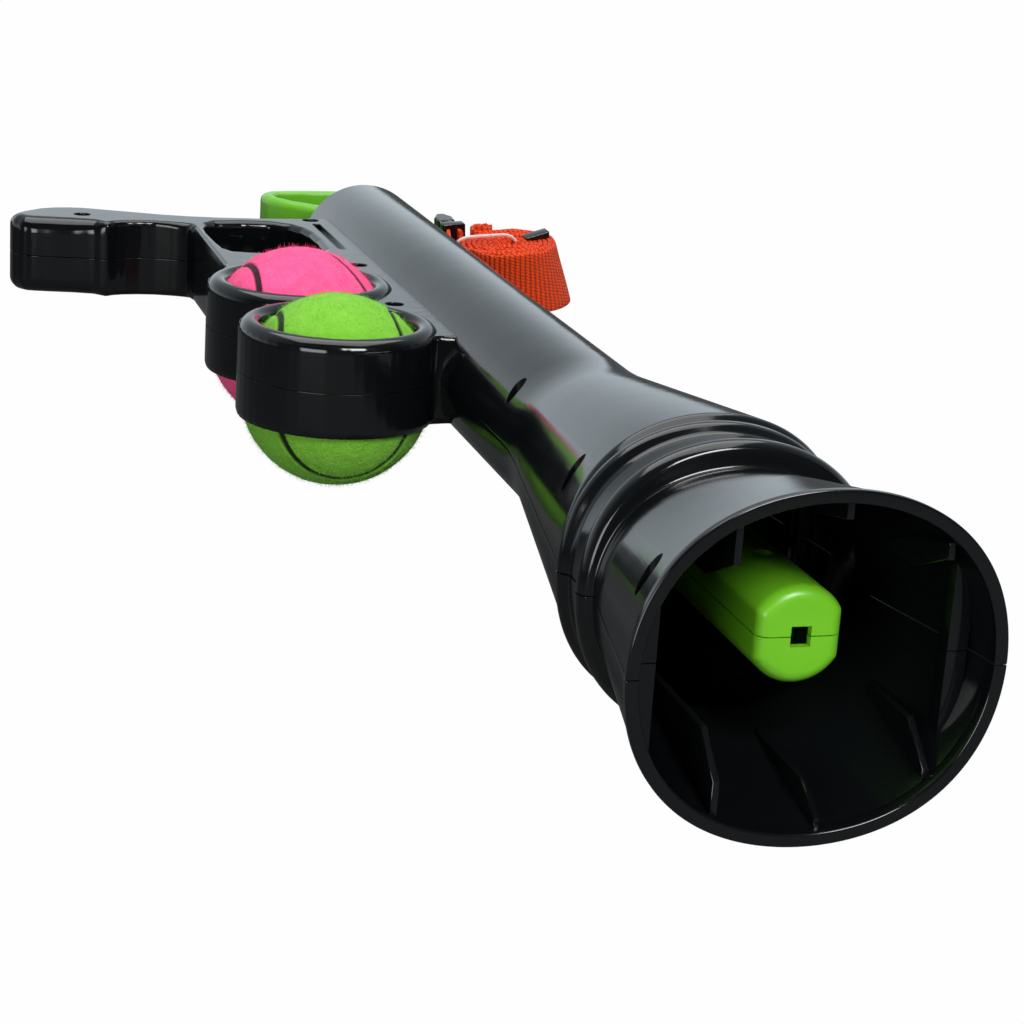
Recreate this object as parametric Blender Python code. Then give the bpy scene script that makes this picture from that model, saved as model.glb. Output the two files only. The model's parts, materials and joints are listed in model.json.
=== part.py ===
"""Dog ball thrower: a spring launcher that fires a ball from a flared muzzle.

The launcher is drawn in its own frame: +Y runs back along the barrel from the
mouth, -X points to the grip and the ball holders, and the two shells of every
moulding meet on z = 0.  One empty then lays it on its side on the ground, as
it rests on its rim, on the back end of the barrel and on the front ball.
"""
import math

import bmesh
import bpy
import numpy as np
from mathutils import Matrix, Vector

# Clearances
SEAM_GAP = 0.0003
FIT_GAP = 0.0003
CUT_OVERRUN = 0.0010
FUSE_DEPTH = 0.0008
WELD_DISTANCE = 0.000006

# Barrel
BARREL_LENGTH = 0.5016
TUBE_RADIUS = 0.0250
TUBE_WALL = 0.0020
FLARE_BACK_Y = 0.1860
FLARE_EASE = 0.0150
FLARE_EASE_RISE = 0.00035
FLARE_FRONT_Y = 0.0820
FLARE_RADIUS = 0.0392
FLARE_WALL = 0.0022
FLARE_SHIFT = 0.0034
BEAD_BACK_Y = 0.0759
BEAD_FRONT_Y = 0.0594
BEAD_RX = 0.0396
BEAD_RZ = 0.0386
BEAD_SHIFT = 0.0050
BEAD_RISE = 0.0016
BEAD_HALF_WIDTH = 0.0034
BEAD_EDGE = 0.0012
THROAT_Y = 0.0556
THROAT_RX = 0.0362
THROAT_RZ = 0.0322
MUZZLE_WALL = 0.0024
MOUTH_RX = 0.0467
MOUTH_RZ = 0.0432
MOUTH_SHIFT = 0.0046
RIM_WALL = 0.0034
RIM_LENGTH = 0.0030
RIM_EDGE = 0.0006
OVAL_SQUARE_SHARE = 0.024
BARREL_STEPS = 16

# Rings and ledges inside the tube
STOP_RING_Y = 0.1960
STOP_RING_LENGTH = 0.0080
STOP_RING_BORE = 0.0142
SPRING_LEDGE_Y = 0.4080
SPRING_LEDGE_LENGTH = 0.0030
SPRING_LEDGE_BORE = 0.0190
GUIDE_LEDGE_DEPTH = 0.0159
GUIDE_LEDGE_Y = BARREL_LENGTH - GUIDE_LEDGE_DEPTH
GUIDE_LEDGE_LENGTH = 0.0030
END_LIP_LENGTH = 0.0030
END_LIP_BORE = 0.0205

# Ribs that hold the ball in the muzzle
RIB_PITCH = 0.0263
RIB_THICKNESS = 0.0019
RIB_FRONT_Y = 0.0032
RIB_OUTER_BACK_Y = 0.0520
RIB_MIDDLE_BACK_Y = 0.0380
RIB_TOP_OUTER_Z = 0.0240
RIB_TOP_MIDDLE_Z = 0.0345
RIB_LOW_OUTER_Z = 0.0275
RIB_LOW_MIDDLE_Z = 0.0370
RIB_OUTER_BACK_Z = 0.0195
RIB_MIDDLE_BACK_Z = 0.0315
RIB_RIGHT_BACK_Y = 0.0190
RIB_RIGHT_BACK_Z = 0.0205
RIB_RIGHT_LOW_Z = 0.0255

# Screws
BARREL_SCREW_YS = (0.0128, 0.0971, 0.2000)
BARREL_SCREW_REACHES = (0.0389, 0.0318, 0.0202)
BARREL_SCREW_SEATS = (0.0105, 0.0105, 0.0062)
BOSS_RADIUS = 0.0034
SCREW_HEAD_RADIUS = 0.0025
SCREW_HEAD_HEIGHT = 0.0018
SCREW_HEAD_EDGE = 0.0004
SCREW_SHANK_RADIUS = 0.0013
SCREW_TIP_LENGTH = 0.0015
SCREW_GRIP_DEPTH = 0.0085
SCREW_STEPS = 10
FRAME_SCREW_HEAD_RADIUS = 0.0029
FRAME_SCREW_SEAT = 0.0050

# Frame: rail, ball holders, trigger guard and grip
FRAME_HALF_HEIGHT = 0.0149
RAIL_FRONT_Y = 0.2680
RAIL_OUTER_X = 0.0276
RAIL_INNER_X = 0.0170
RAIL_CHAMFER = 0.0030
FRAME_BACK_Y = 0.4780
EDGE_ROUND = 0.0020
HOLDER_X = 0.0567
HOLDER_Y = 0.2845
HOLDER_PITCH = 0.0645
HOLDER_RADIUS = 0.0328
HOLDER_BORE = 0.0311
HOLDER_LIP_BORE = 0.0256
HOLDER_LIP_Z = 0.0050
HOLDER_TOP_Z = 0.0170
HOLDER_CROWN_RADIUS = 0.0320
HOLDER_CROWN_EDGE = 0.0022
HOLDER_WEB_ANGLE = 104.0
HOLDER_NOTCH = 0.0010
HOLDER_STEPS = 22
GUARD_X = 0.0782
GUARD_FRONT_Y = 0.3850
GUARD_BACK_Y = 0.4570
GRIP_ROOT_X = 0.0326
GRIP_REACH = 0.1138
GRIP_BACK_Y = 0.4995
GRIP_DEPTH = 0.0400
GRIP_ROUND = 0.0055
GRIP_WALL = 0.0026

# Grip outline: shares of GRIP_REACH from the root, of GRIP_DEPTH from the
# back, and of GRIP_ROUND for the edge there
GRIP_FRONT_SHARES = (
    (0.405, 1.020, 0.45), (0.412, 0.955, 0.60), (0.440, 0.900, 0.75),
    (0.475, 0.850, 0.90), (0.520, 0.810, 1.00), (0.570, 0.800, 1.00),
    (0.620, 0.815, 1.00), (0.655, 0.850, 1.00), (0.680, 0.905, 1.00),
    (0.700, 0.900, 1.00), (0.735, 0.850, 1.00), (0.800, 0.810, 1.00),
    (0.870, 0.775, 1.00), (0.930, 0.740, 1.00), (0.970, 0.680, 0.90),
    (0.995, 0.560, 0.80),
)
GRIP_BACK_SHARES = (
    (1.000, 0.440, 0.80), (0.985, 0.330, 0.90), (0.950, 0.210, 1.00),
    (0.905, 0.090, 1.00), (0.850, 0.020, 1.00), (0.790, 0.000, 1.00),
    (0.735, 0.015, 1.00), (0.680, 0.075, 1.00), (0.620, 0.160, 0.90),
    (0.550, 0.255, 0.80), (0.470, 0.365, 0.70), (0.380, 0.450, 0.60),
    (0.280, 0.510, 0.50), (0.150, 0.545, 0.40), (0.030, 0.540, 0.36),
)
GRIP_HOLLOW_SHARES = (
    (0.500, 0.660), (0.540, 0.700), (0.660, 0.740), (0.800, 0.700),
    (0.920, 0.620), (0.945, 0.500), (0.930, 0.330), (0.870, 0.180),
    (0.800, 0.120), (0.720, 0.130), (0.640, 0.250), (0.560, 0.360),
    (0.500, 0.450),
)

# Trigger opening, front to back, as distances from the tube axis
OPENING_FRONT_Y = 0.4070
OPENING_BACK_Y = 0.4693
OPENING_INNER_X = 0.0340
OPENING_OUTER_X = 0.0746
OPENING_SHARES = (
    (0.020, 0.120), (0.000, 0.420), (0.010, 0.640), (0.050, 0.790),
    (0.130, 0.900), (0.300, 0.980), (0.550, 1.000), (0.820, 0.980),
    (0.930, 0.915), (0.990, 0.780), (1.000, 0.600), (0.985, 0.300),
    (0.960, 0.120), (0.880, 0.045), (0.740, 0.015), (0.480, 0.000),
    (0.240, 0.000), (0.090, 0.035),
)

# Slot and pad on top of the rail
RAIL_SLOT_X = 0.0275
RAIL_SLOT_FRONT_Y = 0.4140
RAIL_SLOT_BACK_Y = 0.4660
RAIL_SLOT_WIDTH = 0.0018
RAIL_SLOT_DEPTH = 0.0016

FRAME_SCREW_SPOTS = (
    (-0.0300, 0.3180), (-0.0280, 0.3845), (-0.0281, 0.4735), (-0.1186, 0.4800),
)

# Ears of the lower barrel shell that the front frame screws clamp
EAR_HALF_LENGTH = 0.0045
EAR_THICKNESS = 0.0022
EAR_MARGIN = 0.0036

# Plunger and its rod
PLUNGER_FACE_Y = 0.0232
PLUNGER_RADIUS = 0.0124
PLUNGER_FLAT = 0.0109
PLUNGER_WALL = 0.0022
PLUNGER_EDGE = 0.0026
PLUNGER_HOLE = 0.0052
FLANGE_RADIUS = 0.0200
FLANGE_LENGTH = 0.0050
BUMPER_LENGTH = 0.0040
BUMPER_RADIUS = 0.0205
CHAMBER_LENGTH = 0.0036
CHAMBER_RADIUS = 0.0078
CHAMBER_WALL = 0.0040
PLUNGER_SCREW_YS = (0.0490, 0.1500)
PLUNGER_SCREW_SEAT = 0.0062
PLUNGER_SCREW_DEPTH = 0.0075
ROD_RADIUS = 0.0050
ROD_EDGE = 0.0006
COLLAR_RADIUS = 0.0075
GROOVE_RADIUS = 0.0034
GROOVE_HALF_LENGTH = 0.0046
DRAW_TRAVEL = 0.1000

# Main spring and its stop
SPRING_WIRE_RADIUS = 0.0010
SPRING_MEAN_RADIUS = 0.0100
SPRING_CURLS = 16
SPRING_CURL_POINTS = 8
WIRE_SIDES = 6
STOP_PLATE_LENGTH = 0.0035
STOP_PLATE_HUB_LENGTH = 0.0080
STOP_PLATE_HUB_RADIUS = 0.0075

# Guide bush at the back end
GUIDE_LENGTH = 0.0093
GUIDE_HUB_LENGTH = 0.0060
GUIDE_HUB_RADIUS = 0.0095

# Pull handle
HANDLE_REST_GAP = 0.0024
HANDLE_FRONT_Y = BARREL_LENGTH + HANDLE_REST_GAP
HANDLE_LENGTH = 0.0660
HANDLE_LEFT_REACH = 0.0345
HANDLE_RIGHT_REACH = 0.0280
HANDLE_HALF_HEIGHT = 0.0108
HANDLE_ROUND = 0.0035
HANDLE_SOCKET_DEPTH = 0.0150
HANDLE_OUTER_SHARES = (
    (0.24, 0.00), (0.25, 0.14), (0.37, 0.28), (0.60, 0.42), (0.82, 0.55),
    (0.95, 0.66), (1.00, 0.77), (0.97, 0.88), (0.86, 0.95), (0.60, 0.985),
    (0.30, 1.00),
)
HANDLE_HOLE_SHARES = (
    (0.12, 0.36), (0.42, 0.455), (0.66, 0.58), (0.81, 0.70), (0.83, 0.79),
    (0.73, 0.86), (0.35, 0.885),
)
HANDLE_PIN_RADIUS = 0.0015
HANDLE_PIN_DEPTH = 0.0070
HANDLE_PIN_Y = HANDLE_FRONT_Y + HANDLE_PIN_DEPTH

# Trigger, its pin and spring, and the catch that it draws
TRIGGER_X = 0.0290
TRIGGER_Y = 0.4580
TRIGGER_HUB_RADIUS = 0.0030
TRIGGER_PLATE_HALF = 0.0023
TRIGGER_BLADE_HALF = 0.0058
TRIGGER_BLADE_LENGTH = 0.0160
TRIGGER_BLADE_WIDTH = 0.0140
TRIGGER_BLADE_X = 0.0372
TRIGGER_BLADE_BACK_Y = 0.4595
TRIGGER_BLADE_SHARES = (
    (0.00, 0.00), (0.30, 0.08), (0.60, 0.22), (0.85, 0.42), (1.00, 0.62),
    (1.00, 0.76), (0.92, 0.82), (0.76, 0.72), (0.50, 0.70), (0.25, 0.78),
    (0.00, 0.94),
)
TRIGGER_ARM_REACH = 0.0090
TRIGGER_ARM_SHIFT = 0.0020
TRIGGER_ARM_HALF = 0.0010
TRIGGER_TRAVEL_DEG = 14.0
TRIGGER_PIN_RADIUS = 0.0014
TRIGGER_PIN_HALF = 0.0090
POCKET_HALF = 0.0058
POCKET_OUTER_X = 0.0331
POCKET_BACK_Y = 0.4640
TRIGGER_SPRING_RADIUS = 0.0026
TRIGGER_SPRING_WIRE = 0.00030
TRIGGER_SPRING_CURLS = 2
CATCH_FRONT_Y = 0.4435
CATCH_BACK_Y = 0.4512
CATCH_HALF = 0.0030
CATCH_OUTER_X = 0.0295
CATCH_NOTCH_Y = 0.0037

# Balls
BALL_RADIUS = 0.0308
BALL_Z = -0.0064
REAR_BALL_RISE = 0.0025

# Strap set, standing beside the launcher
STRAP_WIDTH = 0.0250
STRAP_THICKNESS = 0.0017
STRAP_GAP = 0.0006
STRAP_ROLL_X = 0.0590
STRAP_ROLL_Y = 0.4810
STRAP_OUTER_RADIUS = 0.0240
STRAP_TURNS = 5.5
STRAP_TURN_POINTS = 20
STRAP_OVAL_SHARE = 0.92
STRAP_BOTTOM = 0.0014
STRAP_END_ANGLE = 100.0
STRAP_TAIL_RADIUS = 0.0052
STRAP_TAIL_RISE = 0.0044
STRAP_TAIL_POINTS = 14
TIE_RADIUS = 0.0005
TIE_POINTS = 24
TIE_HALF_LENGTH = 0.0144
TIE_CENTRE_X = 0.0488
TIE_CENTRE_Y = 0.4830
TIE_CROWN = 0.0012
TIE_SQUARE_SHARE = 0.25

# Strap fittings: a lead of webbing, its slider and hook, and the end clip
LEAD_SPOTS = (
    (0.0360, 0.4841), (0.0362, 0.4910), (0.0371, 0.4980), (0.0388, 0.5060),
    (0.0407, 0.5140), (0.0420, 0.5235),
)
SLIDER_LOW = (0.0376, 0.5110, 0.0003)
SLIDER_HIGH = (0.0476, 0.5170, 0.0284)
SLIDER_SLOT_X = 0.04055
SLIDER_SLOT_HALF = 0.0017
SLIDER_SLOT_PITCH = 0.0042
HOOK_OUTLINE = (
    (0.0382, 0.5205), (0.0452, 0.5205), (0.0458, 0.5270), (0.0437, 0.5330),
    (0.0405, 0.5335), (0.0378, 0.5270),
)
HOOK_LOW_Z = 0.0090
HOOK_HIGH_Z = 0.0282
HOOK_SLOT_DEPTH = 0.0040
CLIP_LOW = (0.0640, 0.4812)
CLIP_HIGH = (0.0773, 0.4888)
CLIP_THIN = 0.0008
CLIP_THICK = 0.0030

# Colours: red, green, blue in linear light, then roughness and metalness
BLACK_PLASTIC = ((0.012, 0.013, 0.015), 0.22, 0.0)
GREEN_PLASTIC = ((0.162, 0.515, 0.032), 0.28, 0.0)
GREEN_FELT = ((0.235, 0.600, 0.090), 0.95, 0.0)
PINK_FELT = ((1.000, 0.155, 0.350), 0.95, 0.0)
STEEL = ((0.55, 0.56, 0.58), 0.30, 1.0)
SPRING_STEEL = ((0.42, 0.43, 0.45), 0.35, 1.0)
BLACK_RUBBER = ((0.02, 0.02, 0.02), 0.80, 0.0)
GREY_PLASTIC = ((0.10, 0.10, 0.11), 0.45, 0.0)
ORANGE_WEBBING = ((0.830, 0.075, 0.010), 0.85, 0.0)
CLEAR_PLASTIC = ((0.85, 0.80, 0.80), 0.20, 0.0)


# Every shape made, with the stand that carries it
SHAPES = []


def clear_scene():
    for thing in list(bpy.data.objects):
        bpy.data.objects.remove(thing, do_unlink=True)


def make_material(name, look):
    colour, roughness, metallic = look
    material = bpy.data.materials.new(name)
    material.use_nodes = True
    shader = material.node_tree.nodes["Principled BSDF"]
    shader.inputs["Base Color"].default_value = (*colour, 1.0)
    shader.inputs["Roughness"].default_value = roughness
    shader.inputs["Metallic"].default_value = metallic
    return material


def add_object(name, bm, look=None, parent=None, origin=(0.0, 0.0, 0.0)):
    bmesh.ops.recalc_face_normals(bm, faces=bm.faces)
    if origin != (0.0, 0.0, 0.0):
        bmesh.ops.translate(bm, verts=bm.verts, vec=-Vector(origin))
    mesh = bpy.data.meshes.new(name)
    bm.to_mesh(mesh)
    bm.free()
    mesh.shade_smooth()
    mesh.set_sharp_from_angle(angle=math.radians(35.0))
    thing = bpy.data.objects.new(name, mesh)
    bpy.context.collection.objects.link(thing)
    thing.location = origin
    if look is None:
        thing.hide_render = True
        thing.display_type = "WIRE"
    else:
        mesh.materials.append(make_material(name, look))
    SHAPES.append((thing, parent))
    return thing


def add_boolean(thing, cutter, operation):
    modifier = thing.modifiers.new(operation.title() + " " + cutter.name, "BOOLEAN")
    modifier.operation = operation
    modifier.object = cutter
    modifier.solver = "EXACT"


def cut(thing, *cutters):
    for cutter in cutters:
        add_boolean(thing, cutter, "DIFFERENCE")


def weld(thing):
    """Close the hairline splits that a cut leaves where edges meet a corner."""
    modifier = thing.modifiers.new("Weld splits", "WELD")
    modifier.merge_threshold = WELD_DISTANCE


def fuse(thing, *pieces):
    for piece in pieces:
        add_boolean(thing, piece, "UNION")


def settle_shapes():
    """Apply the cuts while everything is square, drop the blanks, then seat the pieces."""
    bpy.context.view_layer.update()
    graph = bpy.context.evaluated_depsgraph_get()
    finished = []
    for thing, stand in SHAPES:
        if thing.modifiers and not thing.hide_render:
            finished.append((thing, bpy.data.meshes.new_from_object(thing.evaluated_get(graph))))
    for thing, mesh in finished:
        thing.data = mesh
    for thing, stand in SHAPES:
        if thing.hide_render:
            bpy.data.objects.remove(thing, do_unlink=True)
        else:
            thing.modifiers.clear()
            thing.parent = stand


# Shapes

def bridge(bm, loops, closed=False):
    """Faces between rings of vertices that have the same count."""
    count = len(loops)
    last = count if closed else count - 1
    for k in range(last):
        lower = loops[k]
        upper = loops[(k + 1) % count]
        size = len(lower)
        for i in range(size):
            j = (i + 1) % size
            bm.faces.new((lower[i], lower[j], upper[j], upper[i]))


def lathe_mesh(profile, steps, axis="Z", place=(0.0, 0.0, 0.0)):
    """Turn (along, radius) points about an axis; a radius of 0 closes an end."""
    bm = bmesh.new()
    rings = []
    for along, radius in profile:
        if radius == 0.0:
            rings.append([bm.verts.new((0.0, 0.0, along))])
            continue
        ring = []
        for i in range(steps):
            angle = 2.0 * math.pi * (i + 0.5) / steps
            ring.append(bm.verts.new((radius * math.cos(angle), radius * math.sin(angle), along)))
        rings.append(ring)
    if len(rings[0]) > 1:
        rings.append(rings[0])
    for lower, upper in zip(rings, rings[1:]):
        for i in range(steps):
            j = (i + 1) % steps
            if len(lower) == 1:
                bm.faces.new((lower[0], upper[j], upper[i]))
            elif len(upper) == 1:
                bm.faces.new((lower[i], lower[j], upper[0]))
            else:
                bm.faces.new((lower[i], lower[j], upper[j], upper[i]))
    if axis == "Y":
        bmesh.ops.rotate(bm, verts=bm.verts, matrix=Matrix.Rotation(math.radians(-90.0), 3, "X"))
    if axis == "X":
        bmesh.ops.rotate(bm, verts=bm.verts, matrix=Matrix.Rotation(math.radians(90.0), 3, "Y"))
    bmesh.ops.translate(bm, verts=bm.verts, vec=place)
    return bm


def cylinder_mesh(radius, low, high, steps, axis="Z", place=(0.0, 0.0, 0.0)):
    profile = ((low, 0.0), (low, radius), (high, radius), (high, 0.0))
    return lathe_mesh(profile, steps, axis, place)


def box_mesh(low, high):
    bm = bmesh.new()
    bmesh.ops.create_cube(bm, size=1.0)
    low = Vector(low)
    high = Vector(high)
    bmesh.ops.scale(bm, verts=bm.verts, vec=high - low)
    bmesh.ops.translate(bm, verts=bm.verts, vec=(low + high) / 2.0)
    return bm


def prism_mesh(points, low, high, plane="XY"):
    """An outline pushed from low to high: XY along Z, YZ along X."""
    bm = bmesh.new()
    if plane == "XY":
        base = [bm.verts.new((u, v, low)) for u, v in points]
        step = Vector((0.0, 0.0, high - low))
    else:
        base = [bm.verts.new((low, u, v)) for u, v in points]
        step = Vector((high - low, 0.0, 0.0))
    face = bm.faces.new(base)
    pushed = bmesh.ops.extrude_face_region(bm, geom=[face])
    moved = [item for item in pushed["geom"] if isinstance(item, bmesh.types.BMVert)]
    bmesh.ops.translate(bm, verts=moved, vec=step)
    return bm


def inset_outline(points, depths):
    """Move each corner of a closed outline inwards, square to both its sides."""
    xy = np.array(points)
    before = xy - np.roll(xy, 1, axis=0)
    after = np.roll(xy, -1, axis=0) - xy
    before /= np.linalg.norm(before, axis=1, keepdims=True)
    after /= np.linalg.norm(after, axis=1, keepdims=True)
    left_before = np.stack([-before[:, 1], before[:, 0]], axis=1)
    left_after = np.stack([-after[:, 1], after[:, 0]], axis=1)
    area = 0.5 * np.sum(xy[:, 0] * np.roll(xy[:, 1], -1) - xy[:, 1] * np.roll(xy[:, 0], -1))
    side = math.copysign(1.0, area)
    mean = left_before + left_after
    spread = 1.0 + np.sum(left_before * left_after, axis=1, keepdims=True)
    return xy + side * mean / spread * np.asarray(depths)[:, None]


def rounded_slab(points, rounds, low, high):
    """An outline pushed from low to high, its high edge rounded by rounds."""
    bm = bmesh.new()
    rounds = np.asarray(rounds)
    sign = math.copysign(1.0, high - low)
    flat = np.array(points)
    levels = [(flat, np.full(len(flat), low))]
    for turn in (0.0, 40.0, 90.0):
        angle = math.radians(turn)
        inset = rounds * (1.0 - math.cos(angle))
        rise = high - sign * rounds * (1.0 - math.sin(angle))
        levels.append((inset_outline(points, inset), rise))
    loops = []
    for outline, heights in levels:
        loops.append([bm.verts.new((x, y, z)) for (x, y), z in zip(outline, heights)])
    bridge(bm, loops)
    bm.faces.new(loops[0])
    bm.faces.new(loops[-1])
    return bm


def sweep_mesh(path, radius, sides):
    """A round tube along a path, its ends closed."""
    bm = bmesh.new()
    path = np.asarray(path)
    tangents = np.gradient(path, axis=0)
    tangents /= np.linalg.norm(tangents, axis=1, keepdims=True)
    normal = np.cross(tangents[0], (0.0, 0.0, 1.0))
    if np.linalg.norm(normal) < 0.1:
        normal = np.cross(tangents[0], (0.0, 1.0, 0.0))
    loops = []
    for point, tangent in zip(path, tangents):
        normal = normal - tangent * np.dot(normal, tangent)
        normal /= np.linalg.norm(normal)
        other = np.cross(tangent, normal)
        ring = []
        for i in range(sides):
            angle = 2.0 * math.pi * i / sides
            spot = point + radius * (math.cos(angle) * normal + math.sin(angle) * other)
            ring.append(bm.verts.new(spot))
        loops.append(ring)
    bridge(bm, loops)
    bm.faces.new(loops[0])
    bm.faces.new(loops[-1])
    return bm


# Barrel

def barrel_shift(y):
    ys = (0.0, THROAT_Y, BEAD_BACK_Y, FLARE_FRONT_Y, FLARE_BACK_Y)
    shifts = (MOUTH_SHIFT, BEAD_SHIFT, BEAD_SHIFT, FLARE_SHIFT, 0.0)
    return -float(np.interp(y, ys, shifts))


def barrel_square(y):
    ys = (0.0, FLARE_FRONT_Y, FLARE_BACK_Y)
    return float(np.interp(y, ys, (OVAL_SQUARE_SHARE, OVAL_SQUARE_SHARE, 0.0)))


def outer_profile():
    """(y, radius along X, radius along Z) down the outside of the barrel."""
    foot_rx = BEAD_RX - BEAD_RISE
    foot_rz = BEAD_RZ - BEAD_RISE
    rows = [(0.0, MOUTH_RX - RIM_EDGE, MOUTH_RZ - RIM_EDGE), (RIM_EDGE, MOUTH_RX, MOUTH_RZ)]
    rows.append((THROAT_Y, THROAT_RX, THROAT_RZ))
    for middle in (BEAD_FRONT_Y, BEAD_BACK_Y):
        rows.append((middle - BEAD_HALF_WIDTH, foot_rx, foot_rz))
        rows.append((middle - BEAD_EDGE, BEAD_RX, BEAD_RZ))
        rows.append((middle + BEAD_EDGE, BEAD_RX, BEAD_RZ))
        rows.append((middle + BEAD_HALF_WIDTH, foot_rx, foot_rz))
    rows.append((FLARE_FRONT_Y, FLARE_RADIUS, FLARE_RADIUS))
    slope = (FLARE_RADIUS - TUBE_RADIUS) / (FLARE_BACK_Y - FLARE_FRONT_Y)
    near = TUBE_RADIUS + slope * FLARE_EASE + FLARE_EASE_RISE / 2.0
    rows.append((FLARE_BACK_Y - FLARE_EASE, near, near))
    eased = TUBE_RADIUS + FLARE_EASE_RISE
    rows.append((FLARE_BACK_Y, eased, eased))
    rows.append((FLARE_BACK_Y + FLARE_EASE, TUBE_RADIUS, TUBE_RADIUS))
    rows.append((BARREL_LENGTH, TUBE_RADIUS, TUBE_RADIUS))
    return rows


def inner_profile():
    """The same down the inside, with the stop ring, the ledges and the lip."""
    bore = TUBE_RADIUS - TUBE_WALL
    rows = [(0.0, MOUTH_RX - RIM_WALL, MOUTH_RZ - RIM_WALL)]
    rows.append((RIM_LENGTH, MOUTH_RX - RIM_WALL, MOUTH_RZ - RIM_WALL))
    share = RIM_LENGTH / THROAT_Y
    rim_rx = MOUTH_RX + (THROAT_RX - MOUTH_RX) * share - MUZZLE_WALL
    rim_rz = MOUTH_RZ + (THROAT_RZ - MOUTH_RZ) * share - MUZZLE_WALL
    rows.append((RIM_LENGTH + RIM_EDGE, rim_rx, rim_rz))
    rows.append((THROAT_Y, THROAT_RX - MUZZLE_WALL, THROAT_RZ - MUZZLE_WALL))
    flare = FLARE_RADIUS - FLARE_WALL
    rows.append((FLARE_FRONT_Y, flare, flare))
    rows.append((FLARE_BACK_Y, bore, bore))
    rings = (
        (STOP_RING_Y, STOP_RING_LENGTH, STOP_RING_BORE),
        (SPRING_LEDGE_Y, SPRING_LEDGE_LENGTH, SPRING_LEDGE_BORE),
        (GUIDE_LEDGE_Y, GUIDE_LEDGE_LENGTH, END_LIP_BORE),
    )
    for y, length, radius in rings:
        rows += [(y, bore, bore), (y, radius, radius)]
        rows += [(y + length, radius, radius), (y + length, bore, bore)]
    lip_y = BARREL_LENGTH - END_LIP_LENGTH
    rows += [(lip_y, bore, bore), (lip_y, END_LIP_BORE, END_LIP_BORE)]
    rows.append((BARREL_LENGTH, END_LIP_BORE, END_LIP_BORE))
    return rows


def barrel_point(y, rx, rz, angle, side):
    bulge = 1.0 + barrel_square(y) * (1.0 - math.cos(4.0 * angle)) / 2.0
    x = barrel_shift(y) + rx * bulge * math.cos(angle)
    z = max(rz * bulge * math.sin(angle), SEAM_GAP / 2.0)
    return x, y, side * z


def barrel_wall_z(x, y, rows, extra):
    """Height of a barrel surface above the seam at x, moved out by extra."""
    ys = [row[0] for row in rows]
    rx = float(np.interp(y, ys, [row[1] for row in rows])) + extra
    rz = float(np.interp(y, ys, [row[2] for row in rows])) + extra
    share = (x - barrel_shift(y)) / rx
    return rz * math.sqrt(max(0.0, 1.0 - share * share))


def rib_cutter(index, side, parent):
    """One ball rib: a plate in a plane of constant x, its back running into the wall."""
    x = index * RIB_PITCH
    spans = ((RIB_OUTER_BACK_Y, RIB_OUTER_BACK_Z), (RIB_MIDDLE_BACK_Y, RIB_MIDDLE_BACK_Z),
             (RIB_RIGHT_BACK_Y, RIB_RIGHT_BACK_Z))
    tops = (RIB_TOP_OUTER_Z, RIB_TOP_MIDDLE_Z, RIB_TOP_OUTER_Z)
    lows = (RIB_LOW_OUTER_Z, RIB_LOW_MIDDLE_Z, RIB_RIGHT_LOW_Z)
    back_y, back_z = spans[index + 1]
    front_z = tops[index + 1] if side > 0.0 else lows[index + 1]
    rows = inner_profile()[2:]
    points = [(RIB_FRONT_Y + RIM_EDGE, side * front_z), (back_y, side * back_z)]
    for share in (1.0, 0.5, 0.0):
        y = RIB_FRONT_Y + RIM_EDGE + (back_y - RIB_FRONT_Y - RIM_EDGE) * share
        wall = barrel_wall_z(x, y, rows, FUSE_DEPTH)
        points.append((y, side * max(wall, back_z + FUSE_DEPTH)))
    bm = prism_mesh(points, x - RIB_THICKNESS / 2.0, x + RIB_THICKNESS / 2.0, "YZ")
    label = "top" if side > 0.0 else "low"
    return add_object("guide_rib_%s_%d" % (label, index + 1), bm, None, parent)


def barrel_screw_spots():
    spots = []
    for y, reach, seat in zip(BARREL_SCREW_YS, BARREL_SCREW_REACHES, BARREL_SCREW_SEATS):
        for side in (-1.0, 1.0):
            spots.append((barrel_shift(y) + side * reach, y, seat))
    return spots


def screw_hole(name, spot, head_radius, top, depth, parent):
    """The hole of one screw: a counterbore over a clearance hole."""
    x, y, seat = spot
    wide = head_radius + FIT_GAP
    narrow = SCREW_SHANK_RADIUS + FIT_GAP
    profile = ((-depth, 0.0), (-depth, narrow), (seat, narrow), (seat, wide), (top, wide), (top, 0.0))
    bm = lathe_mesh(profile, SCREW_STEPS, "Z", (x, y, 0.0))
    return add_object(name, bm, None, parent)


def screw_piece(name, spot, head_radius, depth, parent):
    x, y, seat = spot
    base = seat + FIT_GAP
    top = base + SCREW_HEAD_HEIGHT
    tip = -depth + FIT_GAP
    profile = (
        (tip, 0.0), (tip + SCREW_TIP_LENGTH, SCREW_SHANK_RADIUS),
        (base, SCREW_SHANK_RADIUS), (base, head_radius), (top - SCREW_HEAD_EDGE, head_radius),
        (top, head_radius - SCREW_HEAD_EDGE), (top, 0.0),
    )
    bm = lathe_mesh(profile, SCREW_STEPS, "Z", (x, y, 0.0))
    return add_object(name, bm, STEEL, parent)


def ear_outline(spot, margin):
    """An ear at the seam: from inside the tube wall out past its screw."""
    x, y = spot
    inner = -TUBE_RADIUS + TUBE_WALL / 2.0
    outer = x - EAR_MARGIN - margin
    half = EAR_HALF_LENGTH + margin
    nose = half / 2.0
    return ((inner, y - half), (inner, y + half), (x, y + half),
            (outer, y + nose), (outer, y - nose), (x, y - half))


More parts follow.
